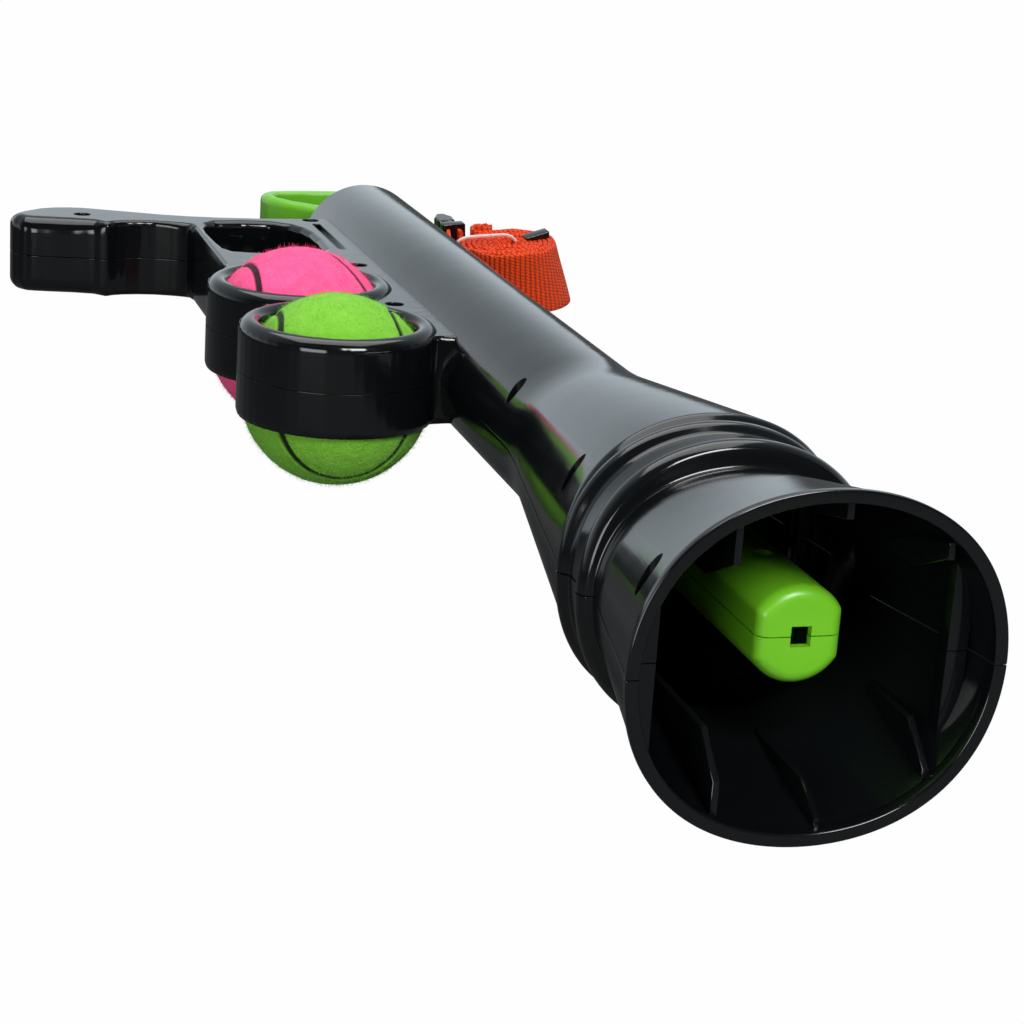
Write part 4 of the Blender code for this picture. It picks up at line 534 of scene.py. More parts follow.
def carve(piece, cutters):
    """Cut solids out of a piece and drop them."""
    for cutter in cutters:
        modifier = piece.modifiers.new(cutter.name, "BOOLEAN")
        modifier.operation = "DIFFERENCE"
        modifier.solver = "EXACT"
        modifier.object = cutter
    bpy.context.view_layer.update()
    graph = bpy.context.evaluated_depsgraph_get()
    mesh = bpy.data.meshes.new_from_object(piece.evaluated_get(graph))
    piece.modifiers.clear()
    old = piece.data
    piece.data = mesh
    mesh.name = old.name
    bpy.data.meshes.remove(old)
    smooth(mesh, CARVED_SHARP)
    for cutter in cutters:
        bpy.data.objects.remove(cutter, do_unlink=True)


# Outlines and profiles

def inset_directions(points):
    """How far each corner of a closed outline moves for an inset of one: the miter of its sides."""
    before = unit_rows(points - np.roll(points, 1, axis=0))
    after = unit_rows(np.roll(points, -1, axis=0) - points)
    left_before = np.stack([-before[:, 1], before[:, 0]], axis=1)
    left_after = np.stack([-after[:, 1], after[:, 0]], axis=1)
    x, y = points[:, 0], points[:, 1]
    side = math.copysign(1.0, np.sum(x * np.roll(y, -1) - y * np.roll(x, -1)))
    spread = 1.0 + np.sum(left_before * left_after, axis=1, keepdims=True)
    return side * (left_before + left_after) / spread


def spread_rows(rows, spacing):
    """A closed loop's rows with even steps put in where two lie further apart than spacing."""
    following = np.roll(rows, -1, axis=0)
    gaps = np.linalg.norm((following - rows)[:, :2], axis=1)
    counts = np.maximum(1, np.ceil(gaps / spacing)).astype(int)
    index = np.repeat(np.arange(len(rows)), counts)
    step = np.arange(counts.sum()) - np.repeat(np.cumsum(counts) - counts, counts)
    share = (step / np.repeat(counts, counts))[:, None]
    return rows[index] * (1.0 - share) + following[index] * share


def smooth_rows(rows, steps):
    """Catmull-Rom curve through the rows of a closed loop."""
    t = (np.arange(steps) / steps)[None, :, None]
    a, b, c, d = (np.roll(rows, k, axis=0)[:, None] for k in (1, 0, -1, -2))
    curve = 0.5 * (2.0 * b + (c - a) * t + (2.0 * a - 5.0 * b + 4.0 * c - d) * t ** 2
                   + (3.0 * b - a - 3.0 * c + d) * t ** 3)
    return curve.reshape(-1, rows.shape[1])


def rim_rows(points, rounds, spacing=0.004, steps=4):
    """Rows (x, y, inset x, inset y, edge across, edge down, edge's turn) of a smooth closed outline."""
    points = np.asarray(points, float)
    rounds = np.asarray(rounds, float)
    if rounds.ndim < 2:
        rounds = quarter_edge(np.broadcast_to(rounds, (len(points),)))
    rows = np.column_stack([points, inset_directions(points), rounds])
    return smooth_rows(spread_rows(rows, spacing), steps)


def quarter_edge(radius):
    """Edges that turn a full quarter circle."""
    return np.column_stack([radius, radius, np.full(len(radius), math.pi / 2.0)])


def circle_rim(x, y, radius, edge, steps):
    angle = round_angles(steps)
    out = np.stack([np.cos(angle), np.sin(angle)], axis=1)
    return np.column_stack([np.array((x, y)) + radius * out, -out, quarter_edge(np.full(steps, edge))])


def wall(rim, low, high, low_edge, side=1.0, middles=(), turns=TURNS):
    """Loops down a wall from its high face to its low one.

    The edge is an arc of an ellipse; side is -1 for the wall of a hole.
    """
    xy = rim[:, :2]
    miter = rim[:, 2:4] * side
    across, down, sweep = rim[:, 4:].T
    sign = math.copysign(1.0, high - low)
    loops = []

    def put(inset, z):
        inset = np.broadcast_to(inset, (len(rim),))
        loops.append(np.column_stack([xy + miter * inset[:, None], np.broadcast_to(z, (len(rim),))]))

    put(across * (1.0 - np.cos(sweep)) + FLAT_RING, high)
    for share in np.linspace(1.0, 0.0, turns + 1):
        turn = sweep * share
        put(across * (1.0 - np.cos(turn)), high - sign * down * (np.sin(sweep) - np.sin(turn)))
    for z in middles:
        put(0.0, sign * np.minimum(abs(z), abs(high) - down * np.sin(sweep)))
    for turn in np.linspace(0.0, math.pi / 2.0, 4):
        put(low_edge * (1.0 - math.cos(turn)), low + sign * low_edge * (1.0 - math.sin(turn)))
    put(low_edge + FLAT_RING, low)
    return np.stack(loops)


def straight_rim(outline, edge):
    """An outline as it stands, as rows for a wall."""
    return np.column_stack([outline, inset_directions(outline), quarter_edge(np.full(len(outline), edge))])


def plate(rim, low, high, edge, holes=(), turn_to=None, surface=None):
    """A flat piece: its wall and the walls of its holes, closed by a face at each end."""
    inners = [wall(hole, low, high, edge, -1.0) for hole in holes]
    return close_plate(wall(rim, low, high, edge), inners, turn_to=turn_to, surface=surface)


def close_plate(outer, through=(), blind=(), turn_to=None, surface=None):
    """An outer wall and those of its holes, closed by a face at each end; blind holes miss the last."""
    part = Surface()
    walls = [outer, *through, *blind]
    for loops in walls:
        part.grid(loops, wrap_cols=True)
    part.flat([loops[0] for loops in walls])
    part.flat([outer[-1]] + [loops[-1] for loops in through])
    points, faces = part.placed(turn_to or np.asarray)
    surface = surface or Surface()
    surface.add(points, [[face] for face in faces])
    return surface


def rounded_loop(rows, steps=5):
    """Each corner of a closed profile turned into a Bezier arc; the last column is its radius."""
    rows = np.asarray(rows, float)
    values = rows[:, :-1]
    before = np.roll(values, 1, axis=0) - values
    after = np.roll(values, -1, axis=0) - values
    long_before = np.linalg.norm(before[:, :2], axis=1)
    long_after = np.linalg.norm(after[:, :2], axis=1)
    radius = np.minimum(rows[:, -1], 0.49 * np.minimum(long_before, long_after))
    start = (values + before * (radius / long_before)[:, None])[:, None]
    end = (values + after * (radius / long_after)[:, None])[:, None]
    t = np.linspace(0.0, 1.0, steps + 1)[None, :, None]
    curve = (1.0 - t) ** 2 * start + 2.0 * t * (1.0 - t) * values[:, None] + t ** 2 * end
    return curve.reshape(-1, values.shape[1])


def lathe(profile, spot=(0.0, 0.0, 0.0), axis="Y", steps=ROUND_STEPS):
    """A closed (along, radius, corner radius) profile turned about an axis."""
    surface = Surface()
    loop = rounded_loop(profile, 4)
    angle = round_angles(steps, 0.5)
    across = loop[None, :, 1] * np.cos(angle)[:, None]
    other = loop[None, :, 1] * np.sin(angle)[:, None]
    along = np.broadcast_to(loop[None, :, 0], across.shape)
    order = {"Y": (across, along, other), "Z": (across, other, along)}[axis]
    surface.grid(np.stack(order, axis=-1) + np.array(spot), wrap_rows=True, wrap_cols=True)
    return surface


# The felt shade colours are painted shade, shown between the fibres where the felt's height is low.
def sweep(path, radius, sides):
    """A round tube: circles square to the path, each turned on from the one before."""
    tangent = unit_rows(np.gradient(path, axis=0))
    steady = np.array((0.0, 0.0, 1.0)) if abs(tangent[:, 2]).max() < 0.9 else np.array((0.0, 1.0, 0.0))
    # The webbing shade colour is painted shade, shown between the threads where the weave is low.
    normal = unit_rows(np.cross(tangent, steady))
    other = np.cross(tangent, normal)
    turn = round_angles(sides)
    ring = normal[:, None] * np.cos(turn)[None, :, None] + other[:, None] * np.sin(turn)[None, :, None]
    surface = Surface()
    surface.grid(path[:, None] + radius * ring, wrap_cols=True, ends=True)
    return surface


def fibres(surface, roots, directions, lengths, width, rng):
    """Single triangles that stand on roots and lean along directions, as short fibres do."""
    side = unit_rows(np.cross(directions, rng.normal(size=roots.shape)))
    tips = roots + directions * lengths[:, None]
    points = np.stack([roots - side * width / 2.0, roots + side * width / 2.0, tips], axis=1)
    surface.add(points, [np.arange(3 * len(roots)).reshape(-1, 3)])


# Node groups and materials

def new_group(name, inputs, outputs):
    group = bpy.data.node_groups.new(name, "ShaderNodeTree")
    for label, kind, value in inputs:
        socket = group.interface.new_socket(label, in_out="INPUT", socket_type=kind)
        if value is not None:
            socket.default_value = value
    for label, kind in outputs:
        group.interface.new_socket(label, in_out="OUTPUT", socket_type=kind)
    entry = group.nodes.new("NodeGroupInput")
    leave = group.nodes.new("NodeGroupOutput")
    return group, entry, leave


def feed(tree, socket, value):
    """Link another node's output into a socket, or set the socket's own value."""
    if isinstance(value, bpy.types.NodeSocket):
        tree.links.new(value, socket)
    else:
        socket.default_value = value


def set_values(node, values):
    for label, value in dict(values).items():
        node.inputs[label].default_value = value


def add_node(tree, kind, settings=(), values=()):
    node = tree.nodes.new(kind)
    for label, value in dict(settings).items():
        setattr(node, label, value)
    set_values(node, values)
    return node


def noise_node(tree, vector, **values):
    """A noise texture over a vector; a value may be another node's output."""
    node = add_node(tree, "ShaderNodeTexNoise")
    for label, value in {"Vector": vector, **values}.items():
        feed(tree, node.inputs[label], value)
    return node.outputs[0]


def group_node(tree, name, vector, values=()):
    """A shared node group, placed with its own values."""
    node = add_node(tree, "ShaderNodeGroup", {"node_tree": bpy.data.node_groups[name]}, values)
    tree.links.new(vector, node.inputs["Vector"])
    return node


def math_node(tree, operation, *values):
    node = add_node(tree, "ShaderNodeMath", {"operation": operation})
    for socket, value in zip(node.inputs, values):
        feed(tree, socket, value)
    return node.outputs[0]


def mix_colours(tree, share, first, second):
    node = add_node(tree, "ShaderNodeMix", {"data_type": "RGBA"})
    for label, value in (("Factor", share), ("A", first), ("B", second)):
        socket = next(s for s in node.inputs if s.name == label and s.enabled)
        feed(tree, socket, (*value, 1.0) if isinstance(value, tuple) else value)
    return next(s for s in node.outputs if s.enabled)


def moulded_group():
    """Moulded plastic: a slow waviness, fine grain, and smudges that dull the gloss."""
    vector, number = "NodeSocketVector", "NodeSocketFloat"
    group, entry, leave = new_group("moulded_plastic", [
        ("Vector", vector, None), ("Roughness", number, 0.2), ("Smudge", number, 0.08),
        ("Grain Scale", number, 900.0), ("Dust", number, 0.02),
    ], [("Roughness", number), ("Height", number), ("Dust", number)])
    calc = functools.partial(math_node, group)
    place = entry.outputs["Vector"]
    wave = noise_node(group, place, Scale=26.0, Detail=3.0)
    smudge = noise_node(group, place, Scale=70.0, Detail=6.0, Roughness=0.62)
    grain = noise_node(group, place, Scale=entry.outputs["Grain Scale"], Detail=2.0)
    speck = noise_node(group, place, Scale=2600.0, Detail=1.0)
    dull = calc("MULTIPLY", calc("SUBTRACT", smudge, 0.45), entry.outputs["Smudge"])
    shown = calc("MULTIPLY", calc("GREATER_THAN", speck, 0.71), smudge)
    group.links.new(calc("ADD", entry.outputs["Roughness"], dull), leave.inputs["Roughness"])
    group.links.new(calc("ADD", wave, calc("MULTIPLY", grain, 0.04)), leave.inputs["Height"])
    group.links.new(calc("MULTIPLY", shown, entry.outputs["Dust"]), leave.inputs["Dust"])


def felt_group():
    """Ball felt: clumps of fibre over a fine nap; its Shade is painted shade, darker where the fibre height is low and
    paler on the high tips, with some random tone.
    """
    vector, number = "NodeSocketVector", "NodeSocketFloat"
    group, entry, leave = new_group("ball_felt", [
        ("Vector", vector, None), ("Clump Scale", number, 260.0), ("Nap Scale", number, 1500.0),
    ], [("Shade", number), ("Height", number)])
    calc = functools.partial(math_node, group)
    place = entry.outputs["Vector"]
    clump = noise_node(group, place, Scale=entry.outputs["Clump Scale"], Detail=4.0, Distortion=0.4)
    nap = noise_node(group, place, Scale=entry.outputs["Nap Scale"], Detail=3.0, Distortion=0.3)
    broad = noise_node(group, place, Scale=60.0, Detail=2.0)
    height = calc("ADD", calc("MULTIPLY", clump, 0.65), calc("MULTIPLY", nap, 0.45))
    # Painted shade: the felt's colour follows the fibre height, darker in the hollows between clumps and paler on the
    # high tips; the broad noise only adds random tone.
    group.links.new(calc("ADD", height, calc("MULTIPLY", broad, 0.35)), leave.inputs["Shade"])
    group.links.new(height, leave.inputs["Height"])


def weave_group():
    """Webbing: columns across the strap, each a chain of slanted knots."""
    vector, number = "NodeSocketVector", "NodeSocketFloat"
    group, entry, leave = new_group("webbing_weave", [
        ("Vector", vector, None), ("Rib Pitch", number, 0.0021), ("Thread Pitch", number, 0.0013),
    ], [("Shade", number), ("Height", number)])
    calc = functools.partial(math_node, group)
    split = add_node(group, "ShaderNodeSeparateXYZ")
    group.links.new(entry.outputs["Vector"], split.inputs[0])
    along = calc("DIVIDE", split.outputs["X"], entry.outputs["Rib Pitch"])
    across = calc("DIVIDE", split.outputs["Y"], entry.outputs["Thread Pitch"])
    slant = calc("MULTIPLY", calc("FRACT", along), 0.8)
    stagger = calc("ADD", calc("MULTIPLY", calc("FLOOR", along), 0.5), slant)

    def rounded_wave(value):
        wave = calc("SINE", calc("MULTIPLY", value, math.pi))
        return calc("POWER", calc("ABSOLUTE", wave), 0.6)

    body = calc("ADD", calc("MULTIPLY", rounded_wave(calc("ADD", across, stagger)), 0.5), 0.5)
    height = calc("MULTIPLY", rounded_wave(along), body)
    fuzz = noise_node(group, entry.outputs["Vector"], Scale=2500.0, Detail=3.0)
    total = calc("ADD", height, calc("MULTIPLY", fuzz, 0.3))
    group.links.new(total, leave.inputs["Height"])
    # Painted shade: the colour follows the weave's height, darker in the low places between threads and knots; the fuzz
    # noise adds random tone.
    group.links.new(total, leave.inputs["Shade"])


def start_material(name, metallic=0.0):
    material = bpy.data.materials.new("look_" + name)
    material.use_nodes = True
    tree = material.node_tree
    shader = tree.nodes["Principled BSDF"]
    shader.inputs["Metallic"].default_value = metallic
    return tree, shader, tree.nodes.new("ShaderNodeTexCoord")


def bump_node(tree, height, shader, distance):
    bump = add_node(tree, "ShaderNodeBump", values={"Distance": distance, "Strength": 1.0})
    tree.links.new(height, bump.inputs["Height"])
    tree.links.new(bump.outputs["Normal"], shader.inputs["Normal"])


def moulded_material(name, colour, roughness, smudge, bump, dust=0.02, metallic=0.0, pale=(0.32, 0.32, 0.33)):
    """Plastic, rubber or metal: its colour with dust flecks, gloss with smudges, slight waviness."""
    tree, shader, coords = start_material(name, metallic)
    group = group_node(tree, "moulded_plastic", coords.outputs["Object"],
                       {"Roughness": roughness, "Smudge": smudge, "Dust": dust})
    tree.links.new(group.outputs["Roughness"], shader.inputs["Roughness"])
    tree.links.new(mix_colours(tree, group.outputs["Dust"], tuple(colour), pale), shader.inputs["Base Color"])
    bump_node(tree, group.outputs["Height"], shader, bump)


def felt_material(name, colour, shade, seam_colour):
    """Ball felt: deep shade between clumps, paler tips, and the bare rubber seam by attribute."""
    tree, shader, coords = start_material(name)
    group = group_node(tree, "ball_felt", coords.outputs["Object"])
    ramp = add_node(tree, "ShaderNodeMapRange", values={"From Min": 0.45, "From Max": 0.95})
    tree.links.new(group.outputs["Shade"], ramp.inputs["Value"])
    # Painted shade: the shade colour shows where the fibre height is low, between the clumps.
    felt = mix_colours(tree, ramp.outputs[0], tuple(shade), tuple(colour))
    seam = add_node(tree, "ShaderNodeAttribute", {"attribute_name": "seam"})
    felt = mix_colours(tree, seam.outputs["Fac"], felt, seam_colour)
    tree.links.new(felt, shader.inputs["Base Color"])
    set_values(shader, {"Roughness": 0.95, "Sheen Weight": 0.06, "Sheen Roughness": 0.5, "Specular IOR Level": 0.1})
    bump_node(tree, group.outputs["Height"], shader, 0.0008)


def webbing_material(name, colour, shade):
    tree, shader, coords = start_material(name)
    group = group_node(tree, "webbing_weave", coords.outputs["UV"])
    ramp = add_node(tree, "ShaderNodeMapRange", values={"From Min": 0.35, "From Max": 1.05})
    tree.links.new(group.outputs["Shade"], ramp.inputs["Value"])
    # Painted shade: the shade colour shows where the weave is low, between the threads.
    tree.links.new(mix_colours(tree, ramp.outputs[0], tuple(shade), tuple(colour)), shader.inputs["Base Color"])
    set_values(shader, {"Roughness": 0.85, "Sheen Weight": 0.05, "Specular IOR Level": 0.2})
    bump_node(tree, group.outputs["Height"], shader, 0.0007)


def clear_material(name):
    tree, shader, coords = start_material(name)
    noise = noise_node(tree, coords.outputs["Object"], Scale=400.0, Detail=3.0)
    set_values(shader, {"Base Color": (0.95, 0.72, 0.72, 1.0), "Transmission Weight": 0.25, "Roughness": 0.32})
    bump_node(tree, noise, shader, 0.0002)


def look(slot):
    """The finish made here for a material slot of the record."""
    return bpy.data.materials["look_" + slot]


def make_materials(scene):
    looks = scene.thrower_looks
    moulded_group()
    felt_group()
    weave_group()
    moulded_material("black_plastic", looks.black, looks.black_roughness, 0.10, 0.00016, 0.004)
    moulded_material("green_plastic", looks.green, 0.30, 0.12, 0.00020, 0.0)
    moulded_material("black_rubber", (0.018, 0.018, 0.018), 0.75, 0.15, 0.0003, 0.01)
    moulded_material("grey_plastic", (0.10, 0.10, 0.11), 0.42, 0.12, 0.0002, 0.005)
    moulded_material("steel", (0.50, 0.51, 0.53), 0.28, 0.25, 0.00012, 0.0, 1.0)
    moulded_material("spring_steel", (0.40, 0.41, 0.43), 0.34, 0.25, 0.00012, 0.0, 1.0)
    felt_material("green_felt", looks.green_felt, looks.green_felt_shade, (0.012, 0.020, 0.008))
    felt_material("pink_felt", looks.pink_felt, looks.pink_felt_shade, (0.040, 0.012, 0.018))
    webbing_material("orange_webbing", looks.webbing, looks.webbing_shade)
    clear_material("clear_plastic")


# Barrel

def barrel_shift(y):
    return -np.interp(y, SHIFT_STATIONS, SHIFTS)


def barrel_point(y, rx, rz, angle, side):
    """An oval, slightly squared: radius times 1 + share (1 - cos 4a) / 2 at angle a."""
    square = np.interp(y, SQUARE_STATIONS, (SQUARE_SHARE, SQUARE_SHARE, 0.0))
    bulge = 1.0 + square * (1.0 - np.cos(4.0 * angle)) / 2.0
    x = barrel_shift(y) + rx * bulge * np.cos(angle)
    z = np.maximum(rz * bulge * np.sin(angle), SEAM)
    return np.stack(np.broadcast_arrays(x, y, side * z), axis=-1)


def barrel_wall_z(x, y, rows, inside):
    rows = np.asarray(rows, float)
    order = np.argsort(rows[:, 0], kind="stable")
    rx = np.interp(y, rows[order, 0], rows[order, 1]) - inside
    rz = np.interp(y, rows[order, 0], rows[order, 2]) - inside
    share = (x - barrel_shift(y)) / rx
    return rz * np.sqrt(np.maximum(0.0, 1.0 - share * share))


def barrel_half(side):
    """Profile round the wall, outside and in, carried from one seam over to the other."""
    rows = np.array(BARREL_OUTSIDE + BARREL_INSIDE)
    outside = np.arange(len(rows)) < len(BARREL_OUTSIDE)
    loop = rounded_loop(np.column_stack([rows[:, :3], outside, rows[:, 3]]), 6)
    ease = SEAM_TURN
    angle = np.concatenate([(0.0, ease / 2.0), np.linspace(ease, math.pi - ease, BARREL_STEPS),
                            (math.pi - ease / 2.0, math.pi)])
    depth = SEAM_EASE * np.clip(1.0 - np.minimum(angle, math.pi - angle) / ease, 0.0, 1.0) ** 2
    y, rx, rz, out = (loop[None, :, k] for k in range(4))
    inset = depth[:, None] * out
    points = barrel_point(y, rx - inset, rz - inset, angle[:, None], side)
    surface = Surface()
    surface.grid(points, wrap_cols=True, ends=True)
    for x, back_y, back_z, *front_z in RIBS:
        barrel_rib(surface, x, back_y, back_z, front_z[int(side < 0.0)], side)
    return surface


def barrel_rib(surface, x, back_y, back_z, front_z, side):
    """A plate in a plane across the barrel: its free edge slants in from the mouth, its root is in the wall."""
    inner = [row for row in BARREL_INSIDE if row[0] <= RIB_WALL_END]
    ys = np.linspace(back_y, RIB_FRONT_Y, 9)
    roots = np.maximum(barrel_wall_z(x, ys, inner, -RIB_ROOT), back_z + RIB_ROOT)
    outline = np.column_stack([np.concatenate([(RIB_FRONT_Y, RIB_SLANTS[int(side < 0.0)], back_y), ys]),
                               np.concatenate([(front_z, back_z, back_z), roots])])
    outline[:, 1] *= side
    rows = straight_rim(outline, RIB_EDGE)
    half = RIB_THICKNESS / 2.0

    def turn_to(points):
        return np.column_stack([points[:, 2] + x, points[:, 0], points[:, 1]])

    close_plate(wall(rows, -half, half, RIB_EDGE, turns=3), turn_to=turn_to, surface=surface)


def boss_cup(surface, x, y, seat, side):
    """A screw's boss: its top follows the middle of the barrel's wall, and the upper one is hollow."""
    steps = 32
    angle = round_angles(steps)
    hole = BARREL_HEAD + FIT_GAP
    radii = [BOSS_RADIUS, BOSS_RADIUS, hole, hole] if side > 0.0 else [BOSS_RADIUS, BOSS_RADIUS]
    rows = []
    for k, radius in enumerate(radii):
        round_off = 1.0 if k > 1 else np.maximum(np.abs(np.cos(angle)), np.abs(np.sin(angle))) ** 0.8
        px = x + radius * np.cos(angle) / round_off
        py = y + radius * np.sin(angle) / round_off
        top = barrel_wall_z(px, py, BARREL_OUTSIDE, WALL_MIDDLE)
        z = (np.full(steps, SEAM), top, top, np.full(steps, seat))[k]
        rows.append(np.column_stack([px, py, side * z]))
    surface.grid(np.stack(rows), wrap_cols=True, ends=True)


def pocket_cutters(spots, high):
    """Cylinders over the seats of screws, to cut their pockets down from the outside."""
    cutters = []
    angle = round_angles(32, 0.37)
    radius = BARREL_HEAD + FIT_GAP
    for k, (x, y, seat) in enumerate(spots):
        ring = np.column_stack([x + radius * np.cos(angle), y + radius * np.sin(angle), np.zeros(len(angle))])
        surface = Surface()
        surface.grid(np.stack([ring + (0.0, 0.0, z) for z in (seat, high)]), wrap_cols=True, ends=True)
        cutters.append(make_piece("pocket_%d" % k, surface, look("black_plastic"), sharp=None))
    return cutters


class THROWER_OT_barrel(bpy.types.Operator):
    """Make the two shells of the barrel with the ball ribs in the mouth"""
    bl_idname = "thrower.barrel"
    bl_label = "Barrel"

    def execute(self, context):
        black = look("black_plastic")
        for node, side in (("barrel_upper_shell", 1.0), ("barrel_lower_shell", -1.0)):
            piece = make_piece(node + "_skin", barrel_half(side), black)
            if side > 0.0:
                carve(piece, pocket_cutters(BARREL_SCREWS, 0.05))
            bosses = Surface()
            for x, y, seat in BARREL_SCREWS[:4]:
                boss_cup(bosses, x, y, seat, side)
            join_into(piece, make_piece(node + "_bosses", bosses, black))
            stand_for(piece, node)
        return {"FINISHED"}


# Frame

def frame_rim(sizes):
    """The frame's outline: the holders' arcs, the guard, the grip and back along the rail."""
    points = []
    rounds = []
    quarter = math.pi / 2.0
    crown = (sizes.crown_edge, sizes.crown_edge, crown_sweep(sizes))
    (front_x, front_y), (back_x, back_y) = HOLDERS
    reach = RAIL_OUTER_X + front_x
    start = math.degrees(math.atan2(-math.sqrt(HOLDER_RADIUS ** 2 - reach ** 2), -reach))
    points.append((-RAIL_INNER_X, front_y + HOLDER_RADIUS * math.sin(math.radians(start))))
    rounds.append((RAIL_EDGE, RAIL_EDGE, quarter))
    first = np.radians(np.linspace(start, HOLDER_WEB_ANGLE - 360.0, 32))
    guard_turn = math.degrees(math.acos((back_x + GUARD_X) / -HOLDER_RADIUS)) + GUARD_TURN
    second = np.radians(np.linspace(-HOLDER_WEB_ANGLE, guard_turn - 360.0, 20))
    for (x, y), turns in ((HOLDERS[0], first), (HOLDERS[1], second)):
        points += np.column_stack([x + HOLDER_RADIUS * np.cos(turns), y + HOLDER_RADIUS * np.sin(turns)]).tolist()
        rounds += [crown] * len(turns)
        if turns is first:
            points.append((x + HOLDER_RADIUS * math.cos(turns[-1]) + HOLDER_NOTCH, (front_y + back_y) / 2.0))
            rounds.append(crown)
    for share in (0.0, 0.3, 0.65, 1.0):
        points.append((-GUARD_X, GUARD_SPAN[0] + (GUARD_SPAN[1] - GUARD_SPAN[0]) * share))
        rounds.append((sizes.guard_edge, sizes.guard_drop, quarter))
    for s, w, edge in GRIP_SHARES:
        points.append((-GRIP_ROOT_X - s * GRIP_REACH, GRIP_BACK_Y - w * GRIP_DEPTH))
        rounds.append((edge * sizes.grip_edge, edge * sizes.grip_edge, quarter))
    points.append((-RAIL_INNER_X, FRAME_BACK_Y))
    rounds.append((RAIL_EDGE, RAIL_EDGE, quarter))
    return rim_rows(points, rounds, 0.004, 3)


def crown_sweep(sizes):
    """How far round its edge a holder's crown has turned where it passes the frame's top."""
    return math.asin(1.0 - (HOLDER_TOP - FRAME_TOP) / sizes.crown_edge)


def holder_wall(x, y, side, sizes):
    """Down a ball holder: over its crown and lip, along the taper and the bore to the seam."""
    if side > 0.0:
        edge = sizes.crown_edge
        lip = sizes.lip_edge
        first = crown_sweep(sizes)
        foot = HOLDER_RADIUS - edge * (1.0 - math.cos(first)) - 0.00012
        crown = [(FRAME_TOP, foot)]
        for turn in np.linspace(first, math.pi / 2.0, 8):
            inward = edge * (math.cos(first) - math.cos(turn)) + 0.00002
            crown.append((HOLDER_TOP - edge * (1.0 - math.sin(turn)), foot - inward))
        crown.append((HOLDER_TOP, crown[-1][1] - FLAT_RING))
        crown.append((HOLDER_TOP, HOLDER_LIP + lip + FLAT_RING))
        for turn in np.linspace(0.0, math.pi / 2.0, 7):
            crown.append((HOLDER_TOP - lip * (1.0 - math.cos(turn)), HOLDER_LIP + lip * (1.0 - math.sin(turn))))
        crown.append((HOLDER_LIP_FOOT, HOLDER_BORE))
    else:
        edge = HOLDER_FOOT_EDGE
        crown = [(FRAME_TOP, HOLDER_BORE + edge + FLAT_RING)]
        for turn in np.linspace(math.pi / 2.0, 0.0, 5):
            crown.append((FRAME_TOP - edge * (1.0 - math.sin(turn)), HOLDER_BORE + edge * (1.0 - math.cos(turn))))
    eased = HOLDER_BORE + SEAM_EASE
    crown += [(SEAM + SEAM_EASE, HOLDER_BORE), (SEAM, eased), (SEAM, eased + FLAT_RING)]
    z, radius = np.array(crown).T
    angle = round_angles(HOLDER_STEPS)
    px = x + radius[:, None] * np.cos(angle)
    py = y + radius[:, None] * np.sin(angle)
    middle = (HOLDERS[0][1] + HOLDERS[1][1]) / 2.0
    clear = middle + math.copysign(0.00004, y - middle)
    if side > 0.0:
        py = np.maximum(py, clear) if y > middle else np.minimum(py, clear)
    return np.stack([px, py, np.broadcast_to(side * z[:, None], px.shape)], axis=-1)


def pocket_wall(x, y, radius, top, floor, edge):
    """A blind round pocket, closed at its floor."""
    loops = wall(circle_rim(x, y, radius, edge, 40), floor, top, 0.0002, -1.0, turns=3)
    last = loops[-1].copy()
    last[:, :2] = (x, y)
    loops[-1, :, :2] = loops[-2, :, :2]
    return np.concatenate([loops, last[None]])


def slot_wall(top):
    """The long narrow groove in the rail's top."""
    turn = np.linspace(0.0, math.pi, 9)
    ends = np.concatenate([
        np.column_stack([SLOT_X + SLOT_HALF * np.cos(turn), SLOT_SPAN[1] - SLOT_HALF + SLOT_HALF * np.sin(turn)]),
        np.column_stack([SLOT_X - SLOT_HALF * np.cos(turn), SLOT_SPAN[0] + SLOT_HALF - SLOT_HALF * np.sin(turn)]),
    ])
    rows = straight_rim(ends, 0.0003)
    loops = wall(rows, top - SLOT_DEPTH, top, 0.0001, -1.0, turns=3)
    last = loops[-1].copy()
    last[:, 0] = SLOT_X
    return np.concatenate([loops, last[None]])


def frame_half(side, sizes):
    """One shell of the frame, its outer wall hollowed to sit against the tube."""
    high = side * FRAME_TOP
    low = side * SEAM
    outer = wall(frame_rim(sizes), low, high, FRAME_SEAM_EASE,
                 middles=[side * z for z in FRAME_WALL_ROWS])
    saddle = -np.sqrt((TUBE_RADIUS + SADDLE_GAP) ** 2 - outer[:, :, 2] ** 2)
    outer[:, :, 0] = np.minimum(outer[:, :, 0], saddle)
    shares = np.array(OPENING_SHARES)
    corners = np.column_stack([1.0 - shares[:, 0], shares[:, 1]])
    opening = OPENING_LOW + corners * (np.array(OPENING_HIGH) - OPENING_LOW)
    edges = np.interp(shares[:, 0], (0.88, 0.97), (sizes.opening_edge, sizes.opening_edge * 0.5))
    hole = wall(rim_rows(opening, edges, 0.003, 3), low, high, SEAM_EASE, -1.0)
    through = [hole] + [holder_wall(x, y, side, sizes) for x, y in HOLDERS]
    blind = []
    if side > 0.0:
        blind = [pocket_wall(x, y, FRAME_HEAD + FIT_GAP, FRAME_TOP, seat, 0.0004) for x, y, seat in FRAME_SCREWS]
        blind.append(slot_wall(FRAME_TOP))
    return close_plate(outer, through, blind)


class THROWER_OT_frame(bpy.types.Operator):
    """Make the two shells of the frame: rail, ball holders, trigger guard and grip"""
    bl_idname = "thrower.frame"
    bl_label = "Frame"

    def execute(self, context):
        sizes = context.scene.thrower_sizes
        for node, side in (("frame_upper_shell", 1.0), ("frame_lower_shell", -1.0)):
            dress(node, "black_plastic", frame_half(side, sizes))
        return {"FINISHED"}


# Plunger and handle

